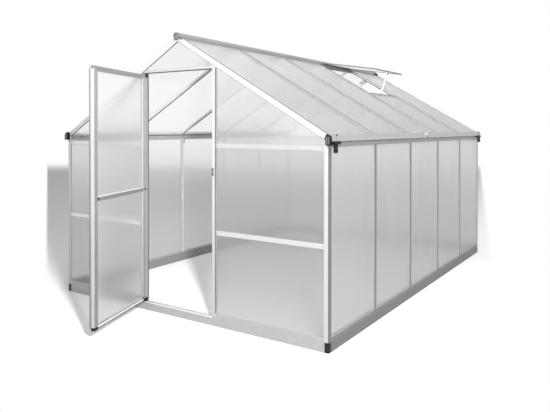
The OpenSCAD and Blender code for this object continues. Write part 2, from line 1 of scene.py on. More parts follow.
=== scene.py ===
"""Looks of a five-bay greenhouse, in metres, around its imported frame.

The frame gives the aluminium profiles, the sheets and the fittings. This script gives each of them
its finish, adds seals, screws, joiners and rounded moulded parts, and sets up a pale studio.
"""

import json
import logging
import math
from dataclasses import dataclass, field
from enum import Enum

import bmesh
import bpy
from mathutils import Matrix, Vector


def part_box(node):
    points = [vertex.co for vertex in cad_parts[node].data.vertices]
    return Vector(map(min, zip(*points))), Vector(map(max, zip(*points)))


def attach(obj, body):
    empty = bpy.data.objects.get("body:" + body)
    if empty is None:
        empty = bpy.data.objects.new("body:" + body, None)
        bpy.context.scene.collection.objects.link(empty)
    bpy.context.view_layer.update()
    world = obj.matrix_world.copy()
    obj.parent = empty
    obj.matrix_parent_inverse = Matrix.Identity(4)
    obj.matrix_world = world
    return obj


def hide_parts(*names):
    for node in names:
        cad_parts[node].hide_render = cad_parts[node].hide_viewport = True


log = logging.getLogger("greenhouse")
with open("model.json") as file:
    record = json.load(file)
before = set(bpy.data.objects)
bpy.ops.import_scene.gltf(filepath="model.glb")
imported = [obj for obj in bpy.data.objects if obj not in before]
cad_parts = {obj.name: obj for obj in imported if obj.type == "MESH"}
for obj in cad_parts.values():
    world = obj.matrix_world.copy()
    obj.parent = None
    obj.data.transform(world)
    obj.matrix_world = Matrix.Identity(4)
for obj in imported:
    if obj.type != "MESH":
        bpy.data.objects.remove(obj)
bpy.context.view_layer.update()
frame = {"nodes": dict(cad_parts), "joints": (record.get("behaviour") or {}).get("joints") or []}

MM = 0.001
HOUSE = "house"
DOOR = "door"
BAR_W = 28 * MM  # glazing bars and gable rails, across their face
POST_W = 33 * MM  # posts and rafters, across their face
POST_DEPTH = 26 * MM
ROOF_ANGLE = math.radians(29)
EAVE_LINE = 1.254  # height at which the roof line meets the outer faces of the side walls
ROOF_OVERHANG = 6 * MM
RIDGE_COVER = 50 * MM  # length of slope that lies under the ridge beam
BAYS = 5
FLANK_INSET = 1.5 * MM  # how far inside the outermost face a flank starts
EDGE_SHADE_START = 613 * MM  # distance from the pin, along the leaf, to where painted shade starts on its free edge
# Where painted shade sets in: on the posts' right and left faces, below a height on posts and
# stiles, on the underside of the eaves, and on the gable rails right of the doorway
RIGHT_POST_SIDE = 1.209
LEFT_POST_SIDE = 1.2135
SHADE_BELOW = 1.5
EAVE_UNDERSIDE = 1.2232
RIGHT_RAILS = 0.33


# ---- Colours and nodes ----


def linear(hex_colour: str, alpha: float = 1.0) -> tuple[float, float, float, float]:
    """Turns an sRGB colour into the linear one that shaders take.

    Args:
        hex_colour: Six hex digits after a hash.
        alpha: Fourth number of the result.

    Returns:
        Red, green, blue and alpha.
    """
    parts = [int(hex_colour[i:i + 2], 16) / 255 for i in (1, 3, 5)]
    red, green, blue = (
        c / 12.92 if c <= 0.04045 else ((c + 0.055) / 1.055) ** 2.4 for c in parts
    )
    return red, green, blue, alpha


def add_node(
    tree: bpy.types.NodeTree,
    kind: str,
    values: dict[str | int, object] | None = None,
    links: dict[str | int, bpy.types.NodeSocket] | None = None,
) -> bpy.types.Node:
    """Adds one node with its settings and links.

    Args:
        tree: Node tree that takes the node.
        kind: Type name of the node.
        values: Settings and values of inputs, by name, or by number for an input.
        links: Outputs to plug in, by the name or number of the input.

    Returns:
        The new node.
    """
    made = tree.nodes.new(kind)
    for key, value in (values or {}).items():
        if isinstance(key, int) or key in made.inputs:
            made.inputs[key].default_value = value
        else:
            setattr(made, key, value)
    for key, source in (links or {}).items():
        tree.links.new(source, made.inputs[key])
    return made


def empty_tree(owner: bpy.types.ID) -> bpy.types.NodeTree:
    """Gives a material, world or lamp a node tree with nothing in it.

    Args:
        owner: What the tree belongs to.

    Returns:
        The empty tree.
    """
    owner.use_nodes = True
    owner.node_tree.nodes.clear()
    return owner.node_tree


def put_in_scene(name: str, data: bpy.types.ID) -> bpy.types.Object:
    """Makes an object and puts it in the scene.

    Args:
        name: Name of the object.
        data: Mesh, lamp or camera that it shows.

    Returns:
        The object.
    """
    made = bpy.data.objects.new(name, data)
    bpy.context.scene.collection.objects.link(made)
    return made


class Run(Enum):
    """Way that a profile or a sheet's webs run: along it, across it, and out of it."""

    WIDTH = ((1, 0, 0), (0, 0, 1), (0, 1, 0))
    LENGTH = ((0, 1, 0), (0, 0, 1), (1, 0, 0))
    HEIGHT = ((0, 0, 1), (1, 0, 0), (0, 1, 0))
    SIDE_HEIGHT = ((0, 0, 1), (0, 1, 0), (1, 0, 0))
    # Cosine and sine of the roof's angle
    SLOPE = ((0.8746, 0, -0.4848), (0, 1, 0), (0.4848, 0, 0.8746))


def run_vector(
    tree: bpy.types.NodeTree, run: Run, along: float, across: float
) -> bpy.types.NodeSocket:
    """Coordinates that follow a run, for grain that is longer along it.

    Args:
        tree: Node tree of the material.
        run: Way of the run.
        along: Scale along the run, per metre.
        across: Scale across the run, per metre.

    Returns:
        A vector with the run as its first number.
    """
    place = add_node(tree, "ShaderNodeTexCoord")
    # Both slopes share one direction once the sign of the width is dropped
    mirrored = add_node(tree, "ShaderNodeVectorMath", {"operation": "ABSOLUTE"},
                        {0: place.outputs["Object"]})
    dots = []
    for direction, scale in zip(run.value, (along, across, across)):
        scaled = tuple(scale * part for part in direction)
        dots.append(add_node(tree, "ShaderNodeVectorMath",
                             {"operation": "DOT_PRODUCT", 1: scaled},
                             {0: mirrored.outputs[0]}).outputs["Value"])
    joined = add_node(tree, "ShaderNodeCombineXYZ", links=dict(enumerate(dots)))
    return joined.outputs[0]


# ---- Finishes ----


@dataclass(frozen=True)
class ShadeFlank:
    """Painted shade on part of a profile, such as its outermost faces or its foot.

    It lies past a distance along a direction, and sets in over a spread.
    """

    colour: str
    way: tuple[float, float, float]
    start: float
    both_sides: bool = True
    spread: float = 0.1 * MM

    def over(self, tree: bpy.types.NodeTree, colour: bpy.types.NodeSocket
             ) -> bpy.types.NodeSocket:
        """Lays the flank's painted shade over a colour.

        Args:
            tree: Node tree of the material.
            colour: Colour of the other faces.

        Returns:
            The colour of all faces.
        """
        place = add_node(tree, "ShaderNodeTexCoord").outputs["Object"]
        if self.both_sides:
            place = add_node(tree, "ShaderNodeVectorMath", {"operation": "ABSOLUTE"},
                             {0: place}).outputs[0]
        out = add_node(tree, "ShaderNodeVectorMath", {"operation": "DOT_PRODUCT", 1: self.way},
                       {0: place})
        share = add_node(tree, "ShaderNodeMapRange",
                         {"From Min": self.start, "From Max": self.start + self.spread},
                         {"Value": out.outputs["Value"]})
        # Painted shade: past the flank's start the colour is multiplied by its tone
        shaded = add_node(tree, "ShaderNodeMix",
                          {"data_type": "RGBA", "blend_type": "MULTIPLY", 0: 1.0,
                           7: linear(self.colour)}, {6: colour})
        return add_node(tree, "ShaderNodeMix", {"data_type": "RGBA"},
                        {0: share.outputs["Result"], 6: colour, 7: shaded.outputs[2]}).outputs[2]


def side_flank(node: str, colour: str) -> tuple[ShadeFlank, ...]:
    """Works out the painted shade on a node's faces on the house's sides.

    Args:
        node: Node of the frame.
        colour: Tone that its own colour is multiplied by there.

    Returns:
        The flank.
    """
    return (ShadeFlank(colour, (1.0, 0.0, 0.0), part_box(node)[1].x - FLANK_INSET),)


def slope_flanks(outer: str, inner: str, depth: float) -> tuple[ShadeFlank, ...]:
    """Works out the painted shade on profiles that lie in the roof's slopes.

    Args:
        outer: Tone of the faces on the slope.
        inner: Tone of the faces deeper than depth.
        depth: Distance below the slope.

    Returns:
        Both flanks.
    """
    slope = Run.SLOPE.value[2]
    top = max(Vector(slope).dot((abs(v.co.x), 0, v.co.z))
              for v in frame["nodes"]["front_rafters"].data.vertices)
    return (ShadeFlank(outer, slope, top - FLANK_INSET),
            ShadeFlank(inner, tuple(-part for part in slope), depth - top))


def leaf_plane() -> tuple[tuple[float, ...], tuple[float, ...], tuple[float, ...]]:
    """Measures the plane of the leaf's inner face, as it stands at rest.

    Returns:
        The leaf's pin, the way along the leaf and the way out of its inner face.
    """
    hinge = frame["joints"][0]
    angle = math.radians(hinge["range_deg"][1])
    return (tuple(hinge["pos_m"]), (math.cos(angle), -math.sin(angle), 0.0),
            (math.sin(angle), math.cos(angle), 0.0))


def leaf_flanks(inner: str, painted_edge: str) -> tuple[ShadeFlank, ...]:
    """Works out the painted shade on the leaf, as it stands at rest.

    Args:
        inner: Tone of its inner face.
        painted_edge: Tone of the painted shade along its free edge.

    Returns:
        Both flanks.
    """
    pin, along, out = leaf_plane()
    return tuple(ShadeFlank(tone, way, start + sum(a * b for a, b in zip(pin, way)), both_sides=False)
                 for tone, way, start in ((inner, out, -FLANK_INSET), (painted_edge, along, EDGE_SHADE_START)))


@dataclass(frozen=True)
class Finish:
    """A finish that a piece is given."""

    name: str

    def paint(self, tree: bpy.types.NodeTree) -> bpy.types.NodeSocket:
        """Builds the shader and returns its output."""
        raise NotImplementedError

    def material(self) -> bpy.types.Material:
        """Returns the finish's material, which is built when it is first asked for."""
        made = bpy.data.materials.get(self.name)
        if made is None:
            made = bpy.data.materials.new(self.name)
            tree = empty_tree(made)
            add_node(tree, "ShaderNodeOutputMaterial", links={"Surface": self.paint(tree)})
        return made


@dataclass(frozen=True)
class BareMetal(Finish):
    """Metal with no coat of colour, between two tones, with painted shade on some flanks."""

    light: str = "#f2f2f2"
    dark: str = "#e6e6e6"
    run: Run = Run.HEIGHT
    flanks: tuple[ShadeFlank, ...] = ()
    metallic: float = 0.2

    def toned(self, tree: bpy.types.NodeTree, tone: bpy.types.NodeSocket, edge: float
              ) -> bpy.types.NodeSocket:
        """Turns a pattern into the metal's colour.

        Args:
            tree: Node tree of the material.
            tone: Pattern from 0 to 1.
            edge: Level of the pattern that is wholly dark; as far from 1 is wholly light.

        Returns:
            The colour, with the flanks' painted shade laid over it.
        """
        ramp = add_node(tree, "ShaderNodeValToRGB", links={"Fac": tone})
        for stop, level, colour in zip(ramp.color_ramp.elements, (edge, 1 - edge),
                                       (self.dark, self.light)):
            stop.position = level
            stop.color = linear(colour)
        base = ramp.outputs["Color"]
        for flank in self.flanks:
            base = flank.over(tree, base)
        return base


@dataclass(frozen=True)
class ExtrudedAluminium(BareMetal):
    """Aluminium as extruded: satin, with faint die lines along the profile and cloudy oxide."""

    roughness: float = 0.48

    def paint(self, tree: bpy.types.NodeTree) -> bpy.types.NodeSocket:
        """Builds streaks and clouds of tone over a satin metal."""
        # Die lines are finer than 1 mm; they are drawn 7 mm apart so that they show
        lines = add_node(tree, "ShaderNodeTexNoise",
                         {"Scale": 1.0, "Detail": 2.0, "Roughness": 0.6},
                         {"Vector": run_vector(tree, self.run, 1.5, 140.0)})
        place = add_node(tree, "ShaderNodeTexCoord")
        clouds = add_node(tree, "ShaderNodeTexNoise", {"Scale": 5.0, "Detail": 3.0},
                          {"Vector": place.outputs["Object"]})
        tone = add_node(tree, "ShaderNodeMath", {"operation": "ADD", "use_clamp": True},
                        {0: lines.outputs["Fac"], 1: add_node(
                            tree, "ShaderNodeMath", {"operation": "MULTIPLY_ADD", 1: 0.6, 2: -0.3},
                            {0: clouds.outputs["Fac"]}).outputs[0]})
        gloss = add_node(tree, "ShaderNodeMapRange",
                         {"To Min": self.roughness - 0.06, "To Max": self.roughness + 0.08},
                         {"Value": clouds.outputs["Fac"]})
        bump = add_node(tree, "ShaderNodeBump", {"Strength": 0.12, "Distance": 0.2 * MM},
                        {"Height": lines.outputs["Fac"]})
        return add_node(tree, "ShaderNodeBsdfPrincipled", {"Metallic": self.metallic},
                        {"Base Color": self.toned(tree, tone.outputs[0], 0.25),
                         "Roughness": gloss.outputs["Result"],
                         "Normal": bump.outputs["Normal"]}).outputs[0]


@dataclass(frozen=True)
class GalvanisedSteel(BareMetal):
    """Folded galvanised sheet steel: dull grey with the soft flakes of zinc spangle."""

    spangle: float = 14 * MM

    def paint(self, tree: bpy.types.NodeTree) -> bpy.types.NodeSocket:
        """Builds flakes of slightly different tone and gloss."""
        place = add_node(tree, "ShaderNodeTexCoord")
        flakes = add_node(tree, "ShaderNodeTexVoronoi", {"Scale": 1 / self.spangle},
                          {"Vector": place.outputs["Object"]})
        clouds = add_node(tree, "ShaderNodeTexNoise", {"Scale": 6.0, "Detail": 4.0},
                          {"Vector": place.outputs["Object"]})
        tone = add_node(tree, "ShaderNodeMix", {"data_type": "FLOAT", 0: 0.5},
                        {2: flakes.outputs["Color"], 3: clouds.outputs["Fac"]})
        gloss = add_node(tree, "ShaderNodeMapRange", {"To Min": 0.42, "To Max": 0.62},
                         {"Value": flakes.outputs["Color"]})
        return add_node(tree, "ShaderNodeBsdfPrincipled", {"Metallic": self.metallic},
                        {"Base Color": self.toned(tree, tone.outputs[0], 0.3),
                         "Roughness": gloss.outputs["Result"]}).outputs[0]


@dataclass(frozen=True)
class TwinWallSheet(Finish):
    """Extruded twin-wall polycarbonate: milky, a little clear, with its webs as faint bands."""

    light: str = "#fafafa"
    dark: str = "#f4f4f4"
    run: Run = Run.HEIGHT
    clear: float = 0.6
    straight: float = 0.2
    glow: float = 0.65
    web: float = 12 * MM

    def paint(self, tree: bpy.types.NodeTree) -> bpy.types.NodeSocket:
        """Builds a milky sheet that lets light through, with gloss on it."""
        # Webs are 6 mm apart; they are drawn 12 mm apart so that they show
        across = add_node(tree, "ShaderNodeSeparateXYZ",
                          links={0: run_vector(tree, self.run, 1.0, 1.0)})
        bands = add_node(tree, "ShaderNodeMath", {"operation": "PINGPONG", 1: self.web / 2},
                         {0: across.outputs["Y"]})
        share = add_node(tree, "ShaderNodeMapRange", {"From Max": self.web / 2},
                         {"Value": bands.outputs[0]})
        haze = add_node(tree, "ShaderNodeTexNoise", {"Scale": 1.5, "Detail": 2.0},
                        {"Vector": run_vector(tree, self.run, 1.0, 1.5)})
        tone = add_node(tree, "ShaderNodeMix", {"data_type": "FLOAT", 0: 0.7},
                        {2: share.outputs["Result"], 3: haze.outputs["Fac"]})
        colour = add_node(tree, "ShaderNodeMix",
                          {"data_type": "RGBA", 6: linear(self.dark), 7: linear(self.light)},
                          {0: tone.outputs[0]})
        bump = add_node(tree, "ShaderNodeBump", {"Strength": 0.08, "Distance": 0.3 * MM},
                        {"Height": share.outputs["Result"]})
        gloss = add_node(tree, "ShaderNodeMapRange", {"To Min": 0.24, "To Max": 0.32},
                         {"Value": haze.outputs["Fac"]})
        face = add_node(tree, "ShaderNodeBsdfPrincipled", {"IOR": 1.585},
                        {"Base Color": colour.outputs[2],
                         "Roughness": gloss.outputs["Result"],
                         "Normal": bump.outputs["Normal"]})
        glow = add_node(tree, "ShaderNodeBsdfTranslucent", links={"Color": colour.outputs[2]})
        milky = add_node(tree, "ShaderNodeMixShader", {0: self.glow},
                         {1: face.outputs[0], 2: glow.outputs[0]})
        through = add_node(tree, "ShaderNodeBsdfTransparent")
        # Ribs and webs bend light a little every way, so near things show and far ones blur
        blurred = add_node(tree, "ShaderNodeBsdfRefraction",
                           {"Color": linear(self.light), "IOR": 1.12, "Roughness": 0.6})
        passed = add_node(tree, "ShaderNodeMixShader", {0: self.straight},
                          {1: blurred.outputs[0], 2: through.outputs[0]})
        entered = add_node(tree, "ShaderNodeMixShader", {0: self.clear},
                           {1: milky.outputs[0], 2: passed.outputs[0]})
        # Light scatters where it enters the sheet, and leaves it straight
        side = add_node(tree, "ShaderNodeNewGeometry")
        return add_node(tree, "ShaderNodeMixShader",
                        links={0: side.outputs["Backfacing"], 1: entered.outputs[0],
                               2: through.outputs[0]}).outputs[0]


@dataclass(frozen=True)
class MouldedPlastic(Finish):
    """Injection-moulded polypropylene: an even colour with a fine matt grain."""

    colour: str = "#1b1c1e"
    worn: str = "#2b2c2e"
    roughness: float = 0.5

    def paint(self, tree: bpy.types.NodeTree) -> bpy.types.NodeSocket:
        """Builds a matt grain and a slight cloud of tone."""
        place = add_node(tree, "ShaderNodeTexCoord")
        # The grain is 0.3 mm wide; it is drawn 1.5 mm wide so that it shows
        grain = add_node(tree, "ShaderNodeTexNoise", {"Scale": 650.0, "Detail": 2.0},
                         {"Vector": place.outputs["Object"]})
        clouds = add_node(tree, "ShaderNodeTexNoise", {"Scale": 30.0, "Detail": 3.0},
                          {"Vector": place.outputs["Object"]})
        colour = add_node(tree, "ShaderNodeMix",
                          {"data_type": "RGBA", 6: linear(self.colour), 7: linear(self.worn)},
                          {0: clouds.outputs["Fac"]})
        gloss = add_node(tree, "ShaderNodeMapRange",
                         {"To Min": self.roughness - 0.07, "To Max": self.roughness + 0.07},
                         {"Value": clouds.outputs["Fac"]})
        bump = add_node(tree, "ShaderNodeBump", {"Strength": 0.15, "Distance": 0.15 * MM},
                        {"Height": grain.outputs["Fac"]})
        return add_node(tree, "ShaderNodeBsdfPrincipled", {"IOR": 1.49, "Specular IOR Level": 0.25},
                        {"Base Color": colour.outputs[2],
                         "Roughness": gloss.outputs["Result"],
                         "Normal": bump.outputs["Normal"]}).outputs[0]


@dataclass(frozen=True)
class PaintedSteel(Finish):
    """Powder-coated steel strip: white, with the fine orange peel of baked powder."""

    colour: str = "#f2f3f3"

    def paint(self, tree: bpy.types.NodeTree) -> bpy.types.NodeSocket:
        """Builds a white coat with a soft orange peel."""
        place = add_node(tree, "ShaderNodeTexCoord")
        peel = add_node(tree, "ShaderNodeTexNoise", {"Scale": 500.0, "Detail": 1.0},
                        {"Vector": place.outputs["Object"]})
        colour = add_node(tree, "ShaderNodeMix",
                          {"data_type": "RGBA", 6: linear(self.colour), 7: linear("#e6e8e9")},
                          {0: peel.outputs["Fac"]})
        bump = add_node(tree, "ShaderNodeBump", {"Strength": 0.1, "Distance": 0.1 * MM},
                        {"Height": peel.outputs["Fac"]})
        return add_node(tree, "ShaderNodeBsdfPrincipled", {"Roughness": 0.35},
                        {"Base Color": colour.outputs[2],
                         "Normal": bump.outputs["Normal"]}).outputs[0]


@dataclass(frozen=True)
class ZincPlate(Finish):
    """Plated steel of screws and bolts, a little uneven: bright grey zinc, or black oxide."""

    colour: str = "#8d8f92"
    worn: str = "#6f7174"

    def paint(self, tree: bpy.types.NodeTree) -> bpy.types.NodeSocket:
        """Builds an uneven bright metal."""
        place = add_node(tree, "ShaderNodeTexCoord")
        spots = add_node(tree, "ShaderNodeTexNoise", {"Scale": 300.0, "Detail": 2.0},
                         {"Vector": place.outputs["Object"]})
        colour = add_node(tree, "ShaderNodeMix",
                          {"data_type": "RGBA", 6: linear(self.colour), 7: linear(self.worn)},
                          {0: spots.outputs["Fac"]})
        return add_node(tree, "ShaderNodeBsdfPrincipled", {"Metallic": 0.9, "Roughness": 0.4},
                        {"Base Color": colour.outputs[2]}).outputs[0]


# Posts and stiles are painted a little darker towards the ground, as painted shade
SHADED_FOOT = (ShadeFlank("#d2d2d2", (0.0, 0.0, -1.0), -SHADE_BELOW, False, SHADE_BELOW),)
# Posts: painted shade on their faces turned to the house's sides, and towards the ground
POST_METAL = ExtrudedAluminium("aluminium_extruded_posts", "#f2f2f2", "#e8e8e8",
                              flanks=(ShadeFlank("#929292", (1.0, 0.0, 0.0), RIGHT_POST_SIDE, False),
                                      ShadeFlank("#929292", (-1.0, 0.0, 0.0), LEFT_POST_SIDE, False),
                                      *SHADED_FOOT))
# The hinge post is a darker copy of the posts' aluminium, as painted shade
HINGE_POST_METAL = ExtrudedAluminium("aluminium_extruded_hinge_post", "#acacac", "#a2a2a2")
RAIL_METAL = ExtrudedAluminium("aluminium_extruded_rails", "#e6e6e6", "#dadada", run=Run.WIDTH)
# Front gable rails: a lighter copy of the rails' aluminium as painted light, with painted shade
# right of the doorway
FRONT_RAIL_METAL = ExtrudedAluminium(
    "aluminium_extruded_front_rails", "#ffffff", "#f4f4f4", run=Run.WIDTH,
    flanks=(ShadeFlank("#dedede", (1.0, 0.0, 0.0), RIGHT_RAILS, False),))
# Sills: a darker copy of the aluminium, with darker outer faces, as painted shade
SILL_METAL = ExtrudedAluminium("aluminium_extruded_sills", "#bababa", "#b0b0b0", run=Run.WIDTH,
                               flanks=side_flank("sills", "#b0b0b0"))
# Eaves: a darker copy of the aluminium, with their underside darker still, as painted shade
EAVE_METAL = ExtrudedAluminium("aluminium_extruded_eaves", "#c6c6c6", "#b8b8b8", run=Run.LENGTH,
                               flanks=(ShadeFlank("#d4d4d4", (0.0, 0.0, -1.0), -EAVE_UNDERSIDE,
                                             False),))
# Ridge: a darker copy of the aluminium, as painted shade
RIDGE_METAL = ExtrudedAluminium("aluminium_extruded_ridge", "#a4a4a4", "#8c8c8c", run=Run.LENGTH)
# Rafters: painted shade on their faces deeper than 31.5 mm below the slope
RAFTER_METAL = ExtrudedAluminium("aluminium_extruded_rafters", "#f4f4f4", "#eaeaea",
                                 run=Run.SLOPE,
                                 flanks=slope_flanks("#ffffff", "#808080", depth=31.5 * MM))
# Wall bars: painted shade on their outer faces, and a little on all of the left wall's bars
BAR_METAL = ExtrudedAluminium("aluminium_extruded_bars", "#d0d0d0", "#c4c4c4", run=Run.HEIGHT,
                              flanks=(*side_flank("wall_bars", "#9c9c9c"),
                                      ShadeFlank("#f2f2f2", (-1.0, 0.0, 0.0), 0.0, False)))
# Roof bars: darker on their outer faces, and painted shade on faces deeper than 12 mm below the
# slope
ROOF_BAR_METAL = ExtrudedAluminium("aluminium_extruded_roof_bars", "#ffffff", "#f4f4f4",
                                   run=Run.SLOPE,
                                   flanks=slope_flanks("#8c8c8c", "#5c5c5c", depth=12 * MM))
# Leaf and stiles: painted shade on the inner face, on the free edge and towards the ground; the
# hinge stile is a darker copy as well
LEAF_METAL = ExtrudedAluminium("aluminium_extruded_leaf", "#f0f0f0", "#e4e4e4", run=Run.HEIGHT,
                               flanks=leaf_flanks("#a5a5a5", "#9c9c9c") + SHADED_FOOT)
FREE_STILE_METAL = ExtrudedAluminium("aluminium_extruded_free_stile", "#f0f0f0", "#e4e4e4",
                                     run=Run.HEIGHT,
                                     flanks=leaf_flanks("#b8b8b8", "#9c9c9c") + SHADED_FOOT)
HINGE_STILE_METAL = ExtrudedAluminium("aluminium_extruded_hinge_stile", "#d8d8d8", "#cecece",
                                      run=Run.HEIGHT,
                                      flanks=leaf_flanks("#dbdbdb", "#9c9c9c") + SHADED_FOOT)
# Hatch: a darker copy of the aluminium, as painted shade
HATCH_METAL = ExtrudedAluminium("aluminium_extruded_hatch", "#969696", "#828282", run=Run.SLOPE)
# Base rails: painted shade on their outer side faces
STEEL = GalvanisedSteel("steel_galvanised_base", "#bcbcbc", "#b0b0b0",
                        flanks=side_flank("base_rails", "#a4a4a4"))
WEB_STEEL = GalvanisedSteel("steel_galvanised_webs", "#8c8c8c", "#828282")
# One polycarbonate sheet in lit and shaded copies: paler on the gable peaks and the door, darker on
# the walls and lower gables
SIDE_SHEET = TwinWallSheet("polycarbonate_twin_wall_side", "#f4f4f4", "#ececec",
                           run=Run.SIDE_HEIGHT, clear=0.5)
GABLE_SHEET = TwinWallSheet("polycarbonate_twin_wall_gable", "#f2f2f2", "#eaeaea",
                            run=Run.HEIGHT, clear=0.74)
PEAK_SHEET = TwinWallSheet("polycarbonate_twin_wall_peak", "#ffffff", "#fafafa",
                           run=Run.HEIGHT, clear=0.92, straight=0.18, glow=0.8)
ROOF_SHEET = TwinWallSheet("polycarbonate_twin_wall_roof", run=Run.SLOPE, clear=0.5)
DOOR_SHEET = TwinWallSheet("polycarbonate_twin_wall_door", "#ffffff", "#fafafa",
                           run=Run.HEIGHT, clear=0.8)
CLEAR_SHEET = TwinWallSheet("polycarbonate_twin_wall_clear", "#f4f4f4", "#ececec",
                            run=Run.SIDE_HEIGHT, clear=0.82)
BLACK_PLASTIC = MouldedPlastic("polypropylene_moulded_black", "#0c0d0e", "#1c1d1e", 0.55)
DARK_PLASTIC = MouldedPlastic("polypropylene_moulded_dark", "#5c5c5c", "#505050")
GREY_PLASTIC = MouldedPlastic("polypropylene_moulded_grey", "#8c8c8c", "#808080")
PALE_PLASTIC = MouldedPlastic("polypropylene_moulded_pale", "#a6a6a6", "#989898")
SEAL_RUBBER = MouldedPlastic("rubber_extruded_seal", "#c2c2c2", "#b6b6b6", 0.6)
CLEAR_RUBBER = MouldedPlastic("rubber_extruded_pale", "#c6c6c6", "#bcbcbc", 0.6)
DARK_RUBBER = MouldedPlastic("rubber_extruded_dark", "#6a6a6a", "#5c5c5c", 0.6)
WHITE_STRIP = PaintedSteel("steel_powder_coated_white")
SCREW_METAL = ZincPlate("steel_zinc_plated_screws")
BOLT_METAL = ZincPlate("steel_black_oxide_bolts", "#2c2d2e", "#1e1f20")


# ---- Shapes ----


@dataclass
class Shape:
    """A mesh in the making, with one finish, that becomes a piece on a body."""

    name: str
    finish: Finish
    body: str = HOUSE
    slot: str | None = None
    mesh: bmesh.types.BMesh = field(default_factory=bmesh.new)

    def prism(self, outline: list[tuple[float, float]], place: Matrix, height: float) -> None:
        """Adds a straight prism.

        Args:
            outline: Corners in the XY plane, counter-clockwise.
            place: Where the outline's plane goes.
            height: Length along the plane's Z.
        """
        low = [self.mesh.verts.new(place @ Vector((x, y, 0))) for x, y in outline]
        high = [self.mesh.verts.new(place @ Vector((x, y, height))) for x, y in outline]
        count = len(outline)
        self.mesh.faces.new(low[::-1])
        self.mesh.faces.new(high)
        for i in range(count):
            j = (i + 1) % count
            self.mesh.faces.new((low[i], low[j], high[j], high[i]))

    def box(self, low: tuple[float, ...], high: tuple[float, ...],
            place: Matrix | None = None) -> None:
        """Adds a box between two corners, in the plane of place."""
        x0, y0, z0 = low
        x1, y1, z1 = high
        base = (place or Matrix.Identity(4)) @ Matrix.Translation((0, 0, z0))
        self.prism([(x0, y0), (x1, y0), (x1, y1), (x0, y1)], base, z1 - z0)

    def side_box(self, side: int, low: tuple[float, ...], high: tuple[float, ...]) -> None:
        """Adds a box on one side of the house, whose X counts outwards from the middle."""
        x0, x1 = sorted((side * low[0], side * high[0]))
        self.box((x0, *low[1:]), (x1, *high[1:]))

    def lathe(self, profile: list[tuple[float, float]], place: Matrix, sides: int = 12) -> None:
        """Adds a turned form.

        Args:
            profile: Radius and height of each ring, from low to high; a radius of 0 closes it.
            place: Where the axis, along Z, goes.
            sides: Number of sides of a ring.
        """
        rings = []
        for radius, height in profile:
            if radius == 0:
                rings.append([self.mesh.verts.new(place @ Vector((0, 0, height)))])
                continue
            rings.append([self.mesh.verts.new(place @ Vector(
                (radius * math.cos(2 * math.pi * i / sides),
                 radius * math.sin(2 * math.pi * i / sides), height))) for i in range(sides)])
        for lower, upper in zip(rings, rings[1:]):
            for i in range(sides):
                j = (i + 1) % sides
                if len(lower) == 1:
                    self.mesh.faces.new((lower[0], upper[j], upper[i]))
                elif len(upper) == 1:
                    self.mesh.faces.new((lower[i], lower[j], upper[0]))
                else:
                    self.mesh.faces.new((lower[i], lower[j], upper[j], upper[i]))
        for ring, flip in ((rings[0], True), (rings[-1], False)):
            if len(ring) > 1:
                self.mesh.faces.new(ring[::-1] if flip else ring)

    def ring(self, corners: list[Vector], out: Vector, width: float, depth: float) -> None:
        """Adds a flat frame inside a polygon, such as a seal round a sheet.

        Args:
            corners: Corners of the polygon, counter-clockwise as seen from out.
            out: Unit vector out of the polygon's plane.
            width: Width of the frame.
            depth: Thickness of the frame, from the polygon's plane outwards.
        """
        count = len(corners)
        inner = []
        for i in range(count):
            before = (corners[i] - corners[i - 1]).normalized()
            after = (corners[(i + 1) % count] - corners[i]).normalized()
            side_a, side_b = out.cross(before), out.cross(after)
            mitre = (side_a + side_b).normalized()
            inner.append(corners[i] + mitre * (width / max(mitre.dot(side_a), 0.2)))
        loops = [[self.mesh.verts.new(p + out * h) for p in ring]
                 for ring in (corners, inner) for h in (0.0, depth)]
        outer_low, outer_high, inner_low, inner_high = loops
        for i in range(count):
            j = (i + 1) % count
            self.mesh.faces.new((outer_low[i], outer_low[j], outer_high[j], outer_high[i]))
            self.mesh.faces.new((outer_high[i], outer_high[j], inner_high[j], inner_high[i]))
            self.mesh.faces.new((inner_high[i], inner_high[j], inner_low[j], inner_low[i]))
            self.mesh.faces.new((inner_low[i], inner_low[j], outer_low[j], outer_low[i]))

    def screw(self, point: Vector | tuple[float, ...], out: Vector | tuple[float, ...],
              radius: float = 4.2 * MM) -> None:
        """Adds a pan-head screw with a hexagonal socket, standing on a face.

        Args:
            point: Middle of the head, on the face.
            out: Direction out of the face.
            radius: Radius of the head.
        """
        place = stand(point, out)
        height = radius * 0.62
        self.lathe([(radius, 0), (radius * 0.98, height * 0.45), (radius * 0.82, height * 0.8),
                    (radius * 0.52, height), (radius * 0.42, height * 0.45),
                    (0, height * 0.4)], place)

    def bolt(self, point: Vector | tuple[float, ...], out: Vector | tuple[float, ...],
             radius: float = 5.5 * MM) -> None:
        """Adds a hexagon nut on a washer, with the end of its bolt.

        Args:
            point: Middle of the washer, on the face.
            out: Direction out of the face.
            radius: Radius of the nut over its corners.
        """
        place = stand(point, out)
        self.lathe([(radius * 1.35, 0), (radius * 1.35, 1.0 * MM), (radius * 0.9, 1.2 * MM)], place)
        self.lathe([(radius * 0.94, 1.1 * MM), (radius, 1.7 * MM), (radius, 4.4 * MM),
                    (radius * 0.9, 5 * MM)], place, 6)
        self.lathe([(radius * 0.5, 4.9 * MM), (radius * 0.5, 7 * MM), (radius * 0.35, 7.6 * MM),
                    (0, 7.6 * MM)], place, 10)

